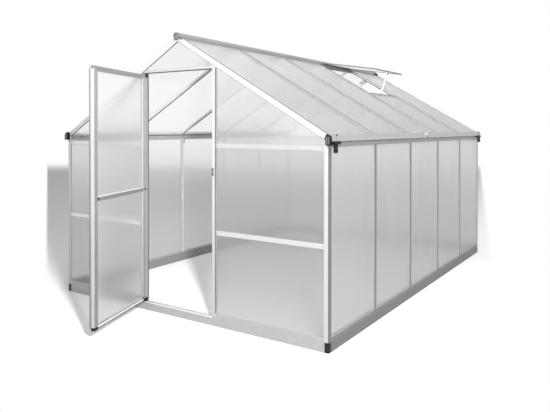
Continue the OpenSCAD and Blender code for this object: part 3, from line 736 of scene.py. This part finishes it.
    def done(self, bevel: float = 0.0) -> bpy.types.Object:
        """Makes the piece.

        Args:
            bevel: Width that its edges are rounded by.

        Returns:
            The piece, riding on its body.
        """
        bmesh.ops.recalc_face_normals(self.mesh, faces=self.mesh.faces)
        data = bpy.data.meshes.new(self.name)
        self.mesh.to_mesh(data)
        self.mesh.free()
        piece = put_in_scene(self.name, data)
        if bevel:
            round_edges(piece, bevel)
        data.materials.append(self.finish.material())
        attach(piece, self.body)
        log.info("%s: %d faces", self.name, len(data.polygons))
        return piece


def stand(point: Vector | tuple[float, ...], out: Vector | tuple[float, ...]) -> Matrix:
    """Returns the place at a point whose Z is the direction out."""
    turn = Vector(out).to_track_quat("Z", "Y").to_matrix().to_4x4()
    return Matrix.Translation(Vector(point)) @ turn


def round_edges(piece: bpy.types.Object, width: float, segments: int = 2) -> None:
    """Rounds the edges of a piece and shades it smooth.

    Args:
        piece: Piece with a mesh.
        width: Width of the rounding.
        segments: Number of steps in it.
    """
    bevel = piece.modifiers.new("rounding", "BEVEL")
    bevel.width = width
    bevel.segments = segments
    bevel.limit_method = "ANGLE"
    bevel.angle_limit = math.radians(35)
    bevel.harden_normals = True
    for face in piece.data.polygons:
        face.use_smooth = True


def moulded(node: str, finish: Finish, slot: str, rounding: float, body: str = HOUSE
            ) -> bpy.types.Object:
    """Makes a moulded part with rounded edges that stands for a node of the frame.

    Args:
        node: Node whose form the part has.
        finish: Its finish.
        slot: Material slot of the record; the part keeps it, and nothing uses it.
        rounding: Width of its rounded edges.
        body: Body that it rides on.

    Returns:
        The part.
    """
    form = bmesh.new()
    form.from_mesh(frame["nodes"][node].data)
    bmesh.ops.remove_doubles(form, verts=form.verts, dist=0.02 * MM)
    bmesh.ops.dissolve_limit(form, angle_limit=math.radians(2), verts=form.verts,
                             edges=form.edges)
    part = Shape(f"{node}_moulded", finish, body, slot, form).done(rounding)
    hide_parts(node)
    return part


def dress(finish: Finish, *nodes: str) -> None:
    """Gives nodes of the frame their finish."""
    for node in nodes:
        data = frame["nodes"][node].data
        data.materials.clear()
        data.materials.append(finish.material())
        log.info("%s: %s", node, finish.name)


# ---- The house's own lines ----


@dataclass(frozen=True)
class Lines:
    """Places of the frame's posts, bars and rails, measured on the frame itself."""

    half_w: float
    front: float
    back: float
    pitch: float
    sill_top: float
    mid_low: float
    eave_low: float
    wall_top: float
    door_l: float
    door_r: float
    header_low: float
    header_high: float
    peak: float
    sheet_depth: float

    @staticmethod
    def measure() -> "Lines":
        """Returns the lines of the loaded frame."""
        corner_low, corner_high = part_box("corner_posts")
        bar_low, bar_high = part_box("wall_bars")
        header_low, header_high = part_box("door_header")
        rail_low, rail_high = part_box("front_gable_rails")
        half_w = corner_high.x
        return Lines(
            half_w=half_w, front=corner_low.y, back=corner_high.y,
            pitch=(bar_high.y - bar_low.y - BAR_W) / (BAYS - 2),
            sill_top=bar_low.z, mid_low=rail_low.z, eave_low=rail_high.z - BAR_W,
            wall_top=bar_high.z, door_l=header_low.x, door_r=header_high.x,
            header_low=header_low.z, header_high=header_high.z,
            peak=EAVE_LINE + half_w * math.tan(ROOF_ANGLE),
            sheet_depth=half_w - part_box("right_wall_panels")[1].x)

    def bar_y(self, k: int) -> float:
        """Returns the middle of the bar after bay k, counted from 1."""
        return self.front + k * self.pitch

    def roof(self, x: float) -> float:
        """Returns the height of the roof line at a distance from the ridge line."""
        return self.peak - abs(x) * math.tan(ROOF_ANGLE)

    def slope(self, side: int) -> tuple[Vector, Matrix]:
        """Measures the roof's slope on one side.

        Args:
            side: 1 for the right slope, -1 for the left one.

        Returns:
            The way out of the slope, and the place of its top, with X down the slope.
        """
        cos_a, sin_a = math.cos(ROOF_ANGLE), math.sin(ROOF_ANGLE)
        along, out = Vector((side * cos_a, 0, -sin_a)), Vector((side * sin_a, 0, cos_a))
        place = Matrix((along, (0, 1, 0), out)).transposed().to_4x4()
        place.translation = (0, 0, self.peak)
        return out, place

    @property
    def slope_end(self) -> float:
        """Distance down the slope of the roof sheets' lower edge."""
        return (self.half_w + ROOF_OVERHANG) / math.cos(ROOF_ANGLE)

    @property
    def rafter_drop(self) -> float:
        """Height of a rafter, measured straight down."""
        return POST_W / math.cos(ROOF_ANGLE)

    def bay(self, i: int) -> tuple[float, float]:
        """Returns the edges of the clear sheet in bay i, counted from 0."""
        low = self.front + POST_DEPTH if i == 0 else self.bar_y(i) + BAR_W / 2
        high = self.back - POST_DEPTH if i == BAYS - 1 else self.bar_y(i + 1) - BAR_W / 2
        return low, high


# ---- Sub-assemblies ----


@dataclass
class SteelBase:
    """Steel base rails and their black corner feet."""

    lines: Lines
    screw_inset: float = 45 * MM
    web_t: float = 1 * MM
    web_short: float = 36 * MM
    highlight_h: float = 9 * MM

    def build(self) -> None:
        """Dresses the rails, moulds the feet and fixes them."""
        dress(STEEL, "base_rails")
        moulded("corner_feet", BLACK_PLASTIC, "black_plastic", 2 * MM)
        self.fixings()
        self.inner_webs()
        self.threshold()

    def inner_webs(self) -> None:
        """Adds the webs that stiffen the side rails and sills on their inner faces."""
        low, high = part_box("sills")
        webs = Shape("base_inner_webs", WEB_STEEL, slot="galvanised_steel")
        face = self.lines.half_w - POST_W
        for side in (-1, 1):
            webs.side_box(side, (face - self.web_t, low.y + self.web_short, 4 * MM),
                          (face, high.y - self.web_short, high.z - 5 * MM))
        webs.done()

    def threshold(self) -> None:
        """Adds a white strip along the top of the front rail, in the doorway, a painted highlight
        of the rail's lit edge.
        """
        lines = self.lines
        # White strip: painted highlight on the front rail's top edge
        painted_edge = Shape("threshold_highlight", WHITE_STRIP, slot="galvanised_steel")
        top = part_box("base_rails")[1].z
        painted_edge.box((lines.door_l, lines.front - 0.8 * MM, top - self.highlight_h),
                (lines.door_r, lines.front + 0.5 * MM, top))
        painted_edge.done(0.3 * MM)

    def fixings(self) -> None:
        """Adds the screws beside the feet and under each bar."""
        screws = Shape("base_screws", SCREW_METAL)
        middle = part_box("base_rails")[1].z / 2
        for side in (-1, 1):
            x = side * self.lines.half_w
            for k in range(1, BAYS):
                screws.screw((x, self.lines.bar_y(k), middle), (side, 0, 0))
            for y in (self.lines.front + self.screw_inset, self.lines.back - self.screw_inset):
                screws.screw((x, y, middle), (side, 0, 0))
            for y, out in ((self.lines.front, -1), (self.lines.back, 1)):
                screws.screw((side * (self.lines.half_w - self.screw_inset), y, middle),
                             (0, out, 0))
        screws.done()


@dataclass
class WallFrame:
    """Posts, bars, sills and rails of the walls and gables."""

    lines: Lines
    screw_inset: float = 9 * MM
    screw_radius: float = 3.6 * MM

    def build(self) -> None:
        """Dresses the profiles, fixes them and lays dark strips round the doorway as painted shade.
        """
        dress(POST_METAL, "corner_posts", "door_post_right", "back_gable_posts")
        dress(HINGE_POST_METAL, "door_post_left")
        dress(RAIL_METAL, "back_gable_rails", "door_header")
        dress(FRONT_RAIL_METAL, "front_gable_rails")
        dress(SILL_METAL, "sills")
        dress(BAR_METAL, "wall_bars")
        self.fixings()
        self.connectors()
        self.doorway_shade_lines()

    def fixings(self) -> None:
        """Adds the screws at the ends of the gable rails."""
        lines = self.lines
        screws = Shape("gable_screws", SCREW_METAL)
        inset = POST_W + self.screw_inset
        outer = (lines.half_w - inset, inset - lines.half_w)
        for z in (lines.mid_low + BAR_W / 2, lines.eave_low + BAR_W / 2):
            for x in (lines.door_r + inset, outer[0], lines.door_l - inset, outer[1]):
                screws.screw((x, lines.front, z), (0, -1, 0), self.screw_radius)
            for x in outer:
                screws.screw((x, lines.back, z), (0, 1, 0), self.screw_radius)
        screws.done()

    def connectors(self) -> None:
        """Adds the black connectors between the wall bars and the eaves, inside."""
        lines = self.lines
        blocks = Shape("bar_connectors", BLACK_PLASTIC, slot="black_plastic")
        for side in (-1, 1):
            for k in range(1, BAYS):
                x, y = lines.half_w - 24 * MM, lines.bar_y(k) + 1.5 * MM
                blocks.side_box(side, (x, y, lines.wall_top - 42 * MM),
                                (x + 13 * MM, y + 9 * MM, lines.wall_top - 2 * MM))
        blocks.done(1.2 * MM)

    def doorway_shade_lines(self) -> None:
        """Adds dark strips under the doorway's header and beside its posts, painted shade of the
        gaps there.
        """
        lines = self.lines
        # Dark strips under the header and beside the hinge post: painted shade
        seals = Shape("doorway_shade_lines", DARK_RUBBER)
        front = lines.front
        seals.box((lines.door_l, front - 0.5 * MM, lines.header_low - 3 * MM),
                  (lines.door_r, front + 3 * MM, lines.header_low + 5 * MM))
        seals.box((lines.door_l, front + 28 * MM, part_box("door_post_left")[0].z),
                  (lines.door_l + 1.2 * MM, front + 37 * MM, lines.header_low))
        seals.done(0.3 * MM)
        # Dark strips along the door posts' edges: painted shade
        strips = Shape("post_strips", DARK_RUBBER)
        for post, side in ((lines.door_l, -1), (lines.door_r, 1)):
            edge = post + side * POST_W
            top = lines.roof(edge) - lines.rafter_drop - 4 * MM
            for x0, x1, y0, y1 in ((edge - side * 6 * MM, edge + side * 1 * MM, -0.4, 1.8),
                                   (post + side * 14 * MM, post + side * 15 * MM, 9, 36)):
                strips.box((min(x0, x1), front + y0 * MM, lines.sill_top),
                           (max(x0, x1), front + y1 * MM, top))
        strips.done()


@dataclass
class Eaves:
    """Gutters with their joiners, end caps and outlets."""

    lines: Lines
    joiner_l: float = 148 * MM
    joiner_y: float = 1.446
    joiner_t: float = 1.2 * MM
    screw_radius: float = 6 * MM
    end_screws: float = 50 * MM
    strip_short: float = 4 * MM

    def build(self) -> None:
        """Dresses the gutters, moulds their fittings and adds what is fixed to them."""
        dress(EAVE_METAL, "eave_gutter_left", "eave_gutter_right")
        moulded("eave_end_caps", BLACK_PLASTIC, "black_plastic", 2 * MM)
        moulded("outlet_saddles", BLACK_PLASTIC, "black_plastic", 1.2 * MM)
        dress(BLACK_PLASTIC, "outlet_pipes")
        self.joiners()
        self.inner_strips()
        self.cap_faces()

    def joiners(self) -> None:
        """Adds the sleeve over the joint of each gutter, and the gutters' screws."""
        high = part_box("eave_gutter_right")[1]
        sleeves = Shape("gutter_joiners", RAIL_METAL, slot="aluminium")
        bolts = Shape("gutter_bolts", BOLT_METAL)
        upper, lower = high.z - 7 * MM, high.z - 36 * MM
        for side in (-1, 1):
            x = side * high.x
            y0, y1 = self.joiner_y - self.joiner_l / 2, self.joiner_y + self.joiner_l / 2
            sleeves.side_box(side, (high.x, y0, high.z - 22 * MM),
                             (high.x + self.joiner_t, y1, high.z - 1 * MM))
            face = side * (high.x + self.joiner_t)
            for y, z in ((y0 + 12 * MM, upper), (y1 - 12 * MM, upper), (y1 - 40 * MM, lower)):
                bolts.screw((face if z == upper else x, y, z), (side, 0, 0), self.screw_radius)
            first, last = self.lines.front + self.end_screws, self.lines.back - self.end_screws
            for y, z in ((first, upper), (last, upper), (last, lower)):
                bolts.screw((x, y, z), (side, 0, 0), self.screw_radius)
        sleeves.done(0.3 * MM)
        bolts.done()

    def inner_strips(self) -> None:
        """Adds the strip, the seal and the screws on the inner face of each eave."""
        low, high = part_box("eave_gutter_right")
        strips = Shape("eave_inner_strips", EAVE_METAL, slot="aluminium")
        seals = Shape("eave_inner_seals", DARK_RUBBER)
        screws = Shape("eave_inner_screws", BOLT_METAL)
        for side in (-1, 1):
            face = side * low.x
            for shape, t, z0, z1 in ((strips, 1.5 * MM, low.z, low.z + 33 * MM),
                                     (seals, 2 * MM, low.z + 34 * MM, low.z + 46 * MM)):
                shape.side_box(side, (low.x - t, low.y + self.strip_short, z0),
                               (low.x, high.y - self.strip_short, z1))
            for k in range(1, BAYS):
                screws.screw((face, self.lines.bar_y(k), low.z + 28 * MM), (-side, 0, 0))
        strips.done()
        seals.done()
        screws.done()

    def cap_faces(self) -> None:
        """Adds a paler ribbed face on the front of each black end cap, painted light on its lit
        front.
        """
        low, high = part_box("eave_end_caps")
        # The paler plate and ribs are painted light on the caps' fronts
        plates = Shape("eave_cap_faces", DARK_PLASTIC, slot="grey_plastic")
        ribs = Shape("eave_cap_ribs", GREY_PLASTIC, slot="grey_plastic")
        x0, x1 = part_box("eave_gutter_right")[0].x + 2 * MM, high.x - 3 * MM
        z0, z1 = low.z + 3 * MM, high.z - 14 * MM
        for side in (-1, 1):
            for shape, xa, xb, proud in ((plates, x0, x1, 0.8 * MM),
                                         (ribs, x0 + 4 * MM, x0 + 8 * MM, 2 * MM),
                                         (ribs, x1 - 11 * MM, x1 - 7 * MM, 2 * MM)):
                shape.side_box(side, (xa, low.y - proud, z0), (xb, low.y + 1 * MM, z1))
        plates.done(0.3 * MM)
        ribs.done(0.4 * MM)


@dataclass
class Roof:
    """Ridge, rafters and roof bars."""

    lines: Lines

    def build(self) -> None:
        """Dresses the profiles, moulds the ridge's end caps and lays the seals."""
        dress(RIDGE_METAL, "ridge_beam")
        dress(RAFTER_METAL, "front_rafters", "back_rafters")
        dress(ROOF_BAR_METAL, "roof_bars", "vent_rail")
        moulded("ridge_end_caps", GREY_PLASTIC, "grey_plastic", 4 * MM)
        self.ridge_seals()
        self.rafter_seals()

    def ridge_seals(self) -> None:
        """Adds the seals under the ridge's wings and the clips at its back end."""
        low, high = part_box("ridge_beam")
        seals = Shape("ridge_seals", DARK_RUBBER)
        clips = Shape("ridge_clips", BLACK_PLASTIC, slot="black_plastic")
        for side in (-1, 1):
            seals.side_box(side, (high.x, low.y + 2 * MM, low.z - 3 * MM),
                           (high.x + 1.2 * MM, high.y - 2 * MM, low.z + 5 * MM))
            clips.side_box(side, (high.x - 14 * MM, high.y - 75 * MM, low.z - 4 * MM),
                           (high.x + 2 * MM, high.y + 5 * MM, low.z + 26 * MM))
        seals.done()
        clips.done(3 * MM)

    def rafter_seals(self) -> None:
        """Adds the seals along the rafters beside the roof sheets, and a dark strip under the
        front-left rafter, over the gable sheets, as painted shade.
        """
        lines = self.lines
        seals = Shape("rafter_seals", DARK_RUBBER)
        half = POST_DEPTH / 2
        for side in (-1, 1):
            place = lines.slope(side)[1]
            for y in (lines.front + half, lines.back - POST_DEPTH):
                seals.box((RIDGE_COVER, y, -0.5 * MM), (lines.slope_end, y + half, 0.8 * MM), place)
        # Dark strip under the front-left rafter only: painted shade
        place, lift = lines.slope(-1)[1], POST_W * math.sin(ROOF_ANGLE)
        for x0, x1 in ((1 * MM, -lines.door_l), (POST_W - lines.door_l, lines.half_w - POST_W)):
            s0, s1 = ((x + lift) / math.cos(ROOF_ANGLE) for x in (x0, x1))
            seals.box((s0, lines.front - 0.3 * MM, -POST_W - 5 * MM),
                      (s1, lines.front + 2 * MM, -POST_W), place)
        seals.done()


@dataclass
class Glazing:
    """Twin-wall sheets and the seals round them."""

    lines: Lines
    seal_w: float = 2.2 * MM
    vent_bay: int = BAYS - 2

    def build(self) -> None:
        """Dresses the sheets and lays their seals."""
        dress(SIDE_SHEET, "right_wall_panels")
        dress(CLEAR_SHEET, "left_wall_panels")
        dress(GABLE_SHEET, "front_wall_panels", "back_wall_panels")
        dress(PEAK_SHEET, "front_gable_panels", "back_gable_panels")
        dress(ROOF_SHEET, "left_roof_panels", "right_roof_panels")
        self.side_seals()
        self.gable_seals()
        self.roof_seals()

    def side_seals(self) -> None:
        """Lays the seals of the side walls, between each sheet and the faces round it."""
        lines = self.lines
        seals = Shape("side_wall_seals", SEAL_RUBBER)
        for side in (-1, 1):
            x = side * (lines.half_w - lines.sheet_depth)
            for i in range(BAYS):
                y0, y1 = lines.bay(i)
                z0, z1 = lines.sill_top, lines.wall_top
                corners = [Vector((x, y0, z0)), Vector((x, y1, z0)), Vector((x, y1, z1)),
                           Vector((x, y0, z1))]
                seals.ring(corners if side > 0 else corners[::-1], Vector((side, 0, 0)),
                           self.seal_w, lines.sheet_depth)
        seals.done()

    def gable_fields(self, out: int) -> list[list[tuple[float, float]]]:
        """Returns the clear fields of a gable as corners in X and Z, counter-clockwise."""
        lines = self.lines
        edge = lines.half_w - POST_W
        drop = lines.rafter_drop
        if out < 0:
            posts = [(lines.door_l - POST_W, -1), (lines.door_r + POST_W, 1)]
            middle = (lines.door_l, lines.door_r, lines.header_high)
        else:
            post_low, post_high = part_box("back_gable_posts")
            inner = post_high.x - POST_W
            posts = [(post_low.x, -1), (post_high.x, 1)]
            middle = (-inner, inner, lines.eave_low + BAR_W)
        heights = [(lines.sill_top, lines.mid_low), (lines.mid_low + BAR_W, lines.eave_low)]
        fields = []
        for post, side in posts:
            x0, x1 = sorted((post, side * edge))
            fields += [[(x0, z0), (x1, z0), (x1, z1), (x0, z1)] for z0, z1 in heights]
            low = lines.eave_low + BAR_W
            fields.append([(x0, low), (x1, low), (x1, lines.roof(x1) - drop),
                           (x0, lines.roof(x0) - drop)])
        if out > 0:
            fields += [[(-inner, z0), (inner, z0), (inner, z1), (-inner, z1)]
                       for z0, z1 in heights]
        x0, x1, low = middle
        peak = [(x1, lines.roof(x1) - drop), (x0, lines.roof(x0) - drop)]
        peak.insert(1, (0.0, lines.peak - drop))
        fields.append([(x0, low), (x1, low), *peak])
        return fields

    def gable_seals(self) -> None:
        """Lays the seals of both gables."""
        lines = self.lines
        seals = Shape("gable_seals", SEAL_RUBBER)
        for out, y in ((-1, lines.front + lines.sheet_depth), (1, lines.back - lines.sheet_depth)):
            for corners in self.gable_fields(out):
                points = [Vector((x, y, z)) for x, z in corners]
                seals.ring(points if out < 0 else points[::-1], Vector((0, out, 0)),
                           self.seal_w, lines.sheet_depth)
        seals.done()

    def roof_seals(self) -> None:
        """Lays the seals beside the roof bars, on both slopes."""
        lines = self.lines
        seals = Shape("roof_seals", CLEAR_RUBBER)
        end = lines.slope_end
        cos_a, sin_a = math.cos(ROOF_ANGLE), math.sin(ROOF_ANGLE)
        for side in (-1, 1):
            out = lines.slope(side)[0]
            for i in range(BAYS):
                y0, y1 = lines.bay(i)
                start = RIDGE_COVER
                if side > 0 and i == self.vent_bay:
                    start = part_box("vent_rail")[1].x / cos_a
                corners = [Vector((side * s * cos_a, y, lines.peak - s * sin_a))
                           - out * lines.sheet_depth
                           for s, y in ((start, y0), (end, y0), (end, y1), (start, y1))]
                seals.ring(corners if side > 0 else corners[::-1], out, self.seal_w,
                           lines.sheet_depth)
        seals.done()


@dataclass
class RoofVent:
    """The hatch in the right slope, open on its stay."""

    joint_in: float = 8 * MM
    joint_below: float = 18 * MM

    def build(self) -> None:
        """Dresses the hatch, its stay and the catch, and bolts the stay's joint."""
        dress(HATCH_METAL, "vent_hatch_frame")
        dress(ROOF_SHEET, "vent_hatch_panel")
        dress(WHITE_STRIP, "vent_stay")
        dress(BLACK_PLASTIC, "vent_stay_catch")
        self.bolts()

    def bolts(self) -> None:
        """Adds the bolt of the stay's joint, on both of its faces."""
        low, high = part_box("vent_stay")
        bolts = Shape("vent_bolts", BOLT_METAL)
        joint = Vector((high.x - self.joint_in, low.y, high.z - self.joint_below))
        bolts.bolt(joint, (0, -1, 0))
        bolts.bolt((joint.x, high.y, joint.z), (0, 1, 0))
        bolts.done()


@dataclass
class Door:
    """The leaf, its hinges and the latch beside it.

    Screws stand at distances from the pin and heights, and strips between two heights.
    """

    screws: tuple[tuple[float, float], ...] = ((0.020, 0.866), (0.575, 0.866), (0.044, 0.095))
    screw_radius: float = 8 * MM
    strip_ends: tuple[float, float] = (46 * MM, 579 * MM)
    strip_heights: tuple[tuple[float, float], ...] = ((0.080, 0.092), (0.8745, 0.879))

    def build(self) -> None:
        """Dresses the leaf, moulds its caps and fits hinges and latch."""
        dress(LEAF_METAL, "door_rails")
        dress(FREE_STILE_METAL, "door_free_stile")
        dress(HINGE_STILE_METAL, "door_hinge_stile")
        dress(DOOR_SHEET, "door_panels")
        moulded("door_foot_caps", BLACK_PLASTIC, "black_plastic", 1.5 * MM, DOOR)
        moulded("door_head_caps", PALE_PLASTIC, "grey_plastic", 1.5 * MM, DOOR)
        dress(BLACK_PLASTIC, "hinge_brackets")
        moulded("door_latch", PALE_PLASTIC, "grey_plastic", 2 * MM)
        self.fixings()
        self.strips()
        self.latch()

    def strips(self) -> None:
        """Adds white strips on the inner face of the leaf's lower rails, painted highlights of
        their lit top edges.
        """
        origin, along, out = (Vector(part) for part in leaf_plane())
        # White strips: painted highlights on the rails' top edges
        strips = Shape("leaf_strips", WHITE_STRIP, DOOR)
        place = Matrix((along, out, (0, 0, 1))).transposed().to_4x4()
        place.translation = (origin.x, origin.y, 0)
        start, end = self.strip_ends
        for z0, z1 in self.strip_heights:
            strips.box((start, 0, z0), (end, 0.8 * MM, z1), place)
        strips.done()

    def fixings(self) -> None:
        """Adds the screws at the ends of the leaf's rails, on its inner face."""
        origin, along, out = (Vector(part) for part in leaf_plane())
        screws = Shape("leaf_screws", BLACK_PLASTIC, DOOR, "black_plastic")
        for distance, z in self.screws:
            point = origin + along * distance
            screws.screw((point.x, point.y, z), out, self.screw_radius)
        screws.done()

    def latch(self) -> None:
        """Adds the latch's bolt and the dark slot under it."""
        low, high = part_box("door_latch")
        middle = (low.x + high.x) / 2
        details = Shape("latch_details", BLACK_PLASTIC, slot="black_plastic")
        details.lathe([(5 * MM, 0), (5 * MM, 1.2 * MM), (3.5 * MM, 2 * MM), (0, 2 * MM)],
                      stand((middle, low.y, high.z - 13 * MM), (0, -1, 0)))
        details.box((middle - 2 * MM, low.y - 0.6 * MM, low.z + 8 * MM),
                    (middle + 3 * MM, low.y + 1 * MM, low.z + 24 * MM))
        details.done()


# ---- Studio ----


@dataclass
class Studio:
    """Pale floor, soft light and camera."""

    camera_place: tuple[float, float, float] = (2.849, -2.678, 1.301)
    camera_yaw: float = 0.5205
    camera_pitch: float = -0.0069
    camera_roll: float = 0.0015
    lens: float = 35.66
    shift: tuple[float, float] = (-0.1276, -0.1352)
    zenith: float = 2.1
    horizon: float = 0.22
    lamp_place: tuple[float, float, float] = (2.7, -2.0, 1.8)
    lamp_radius: float = 0.12
    lamp_level: float = 1.0
    floor_lift: float = 0.11
    white_edges: tuple[tuple[tuple[float, ...], tuple[float, ...], float], ...] = (
        ((-1.63, 0.08, 0.0), (-0.523, -0.852, 0.0), 0.04),
        ((1.3, 2.987, 0.0), (0.96, 0.282, 0.0), 0.08),
        ((-5.1, 10.7, 0.0), (-0.497, 0.868, 0.0), 5.0))

    def build(self) -> None:
        """Sets up floor, sky, lamp, camera and view settings."""
        self.floor()
        self.world()
        self.lamps()
        self.camera()
        bpy.context.scene.view_settings.view_transform = "Standard"

    @staticmethod
    def seen(tree: bpy.types.NodeTree) -> bpy.types.NodeSocket:
        """Returns 1 for rays from the camera, off gloss or straight through, 0 for soft light."""
        rays = add_node(tree, "ShaderNodeLightPath")
        through = add_node(tree, "ShaderNodeMath", {"operation": "SUBTRACT", "use_clamp": True},
                           {0: rays.outputs["Is Transmission Ray"],
                            1: rays.outputs["Is Diffuse Ray"]})
        either = add_node(tree, "ShaderNodeMath", {"operation": "MAXIMUM"},
                          {0: rays.outputs["Is Camera Ray"], 1: rays.outputs["Is Glossy Ray"]})
        return add_node(tree, "ShaderNodeMath", {"operation": "MAXIMUM"},
                        {0: either.outputs[0], 1: through.outputs[0]}).outputs[0]

    def floor(self) -> None:
        """Makes the pale floor, which is white where no shadow falls."""
        made = bpy.data.materials.new("paper_floor")
        tree = empty_tree(made)
        place = add_node(tree, "ShaderNodeTexCoord")
        tooth = add_node(tree, "ShaderNodeTexNoise", {"Scale": 60.0},
                         {"Vector": place.outputs["Object"]})
        colour = add_node(tree, "ShaderNodeMix",
                          {"data_type": "RGBA", 6: linear("#fafafa"), 7: linear("#f7f7f7")},
                          {0: tooth.outputs["Fac"]})
        # The paper faces the lamp everywhere, so that it's as white far off as near the lamp
        to_lamp = add_node(tree, "ShaderNodeVectorMath", {"operation": "SUBTRACT",
                                                          0: self.lamp_place},
                           {1: place.outputs["Object"]})
        facing = add_node(tree, "ShaderNodeVectorMath", {"operation": "NORMALIZE"},
                          {0: to_lamp.outputs[0]})
        paper = add_node(tree, "ShaderNodeBsdfDiffuse",
                         links={"Color": colour.outputs[2], "Normal": facing.outputs[0]})
        # Soft light meets a duller paper, so that the floor throws little light back up
        dull = add_node(tree, "ShaderNodeBsdfDiffuse", {"Color": linear("#8c8c8c")})
        lift = add_node(tree, "ShaderNodeEmission", {"Strength": self.floor_lift})
        lifted = add_node(tree, "ShaderNodeAddShader",
                          links={0: paper.outputs[0], 1: lift.outputs[0]})
        both = add_node(tree, "ShaderNodeMixShader",
                        links={0: self.seen(tree), 1: dull.outputs[0], 2: lifted.outputs[0]})
        # Past these lines the floor is seen as white, and no shadow shows there
        beyond = None
        for point, out, width in self.white_edges:
            apart = add_node(tree, "ShaderNodeVectorMath", {"operation": "SUBTRACT", 1: point},
                             {0: place.outputs["Object"]})
            past = add_node(tree, "ShaderNodeVectorMath", {"operation": "DOT_PRODUCT", 1: out},
                            {0: apart.outputs[0]})
            edge = add_node(tree, "ShaderNodeMapRange",
                            {"interpolation_type": "SMOOTHSTEP", "From Max": width},
                            {"Value": past.outputs["Value"]}).outputs["Result"]
            beyond = edge if beyond is None else add_node(
                tree, "ShaderNodeMath", {"operation": "MAXIMUM"}, {0: beyond, 1: edge}).outputs[0]
        white = add_node(tree, "ShaderNodeEmission", {"Strength": 1.0})
        whitened = add_node(tree, "ShaderNodeMath", {"operation": "MULTIPLY"},
                            {0: beyond, 1: self.seen(tree)})
        whole = add_node(tree, "ShaderNodeMixShader",
                         links={0: whitened.outputs[0], 1: both.outputs[0], 2: white.outputs[0]})
        add_node(tree, "ShaderNodeOutputMaterial", links={"Surface": whole.outputs[0]})
        form = bmesh.new()
        bmesh.ops.create_circle(form, cap_ends=True, segments=64, radius=40.0,
                                matrix=Matrix.Translation((0, 1.5, -1 * MM)))
        data = bpy.data.meshes.new("floor")
        form.to_mesh(data)
        form.free()
        data.materials.append(made)
        floor = put_in_scene("floor", data)

    def world(self) -> None:
        """Makes a sky that is brightest overhead, and that is seen as white."""
        sky = bpy.data.worlds.new("studio")
        bpy.context.scene.world = sky
        tree = empty_tree(sky)
        place = add_node(tree, "ShaderNodeTexCoord")
        up = add_node(tree, "ShaderNodeSeparateXYZ", links={0: place.outputs["Generated"]})
        above = add_node(tree, "ShaderNodeMath", {"operation": "MAXIMUM", 1: 0.0},
                         {0: up.outputs["Z"]})
        curve = add_node(tree, "ShaderNodeMath", {"operation": "POWER", 1: 2.0},
                         {0: above.outputs[0]})
        soft = add_node(tree, "ShaderNodeMapRange",
                        {"To Min": self.horizon, "To Max": self.zenith},
                        {"Value": curve.outputs[0]})
        level = add_node(tree, "ShaderNodeMix", {"data_type": "FLOAT", 3: 1.0},
                         {0: self.seen(tree), 2: soft.outputs["Result"]})
        light = add_node(tree, "ShaderNodeBackground", {"Color": (1, 1, 1, 1)},
                         {"Strength": level.outputs[0]})
        add_node(tree, "ShaderNodeOutputWorld", links={"Surface": light.outputs[0]})

    def lamps(self) -> None:
        """Adds the soft lamp beside the camera, which lights near and far alike."""
        data = bpy.data.lights.new("key_lamp", "POINT")
        data.shadow_soft_size = self.lamp_radius
        data.energy = 4 * math.pi ** 2 * self.lamp_level
        tree = empty_tree(data)
        even = add_node(tree, "ShaderNodeLightFalloff", {"Strength": 1.0})
        light = add_node(tree, "ShaderNodeEmission", links={"Strength": even.outputs["Constant"]})
        add_node(tree, "ShaderNodeOutputLight", links={"Surface": light.outputs[0]})
        lamp = put_in_scene("key_lamp", data)
        lamp.location = self.lamp_place
        lamp.visible_camera = False

    def camera(self) -> None:
        """Adds the camera, at eye height in front on the right."""
        data = bpy.data.cameras.new("camera")
        data.sensor_width = 36.0
        data.lens = self.lens
        data.shift_x, data.shift_y = self.shift
        data.clip_end = 200.0
        made = put_in_scene("camera", data)
        turn = (Matrix.Rotation(self.camera_yaw, 4, "Z")
                @ Matrix.Rotation(math.pi / 2 + self.camera_pitch, 4, "X")
                @ Matrix.Rotation(self.camera_roll, 4, "Z"))
        made.matrix_world = Matrix.Translation(self.camera_place) @ turn
        bpy.context.scene.camera = made


def main() -> None:
    """Builds the studio and the sub-assemblies in order."""
    logging.basicConfig(level=logging.INFO, format="%(name)s: %(message)s")
    lines = Lines.measure()
    Studio().build()
    for part in (SteelBase(lines), WallFrame(lines), Eaves(lines), Roof(lines), Glazing(lines),
                 RoofVent(), Door()):
        part.build()
    log.info("all pieces built")


if __name__ == "__main__":
    main()
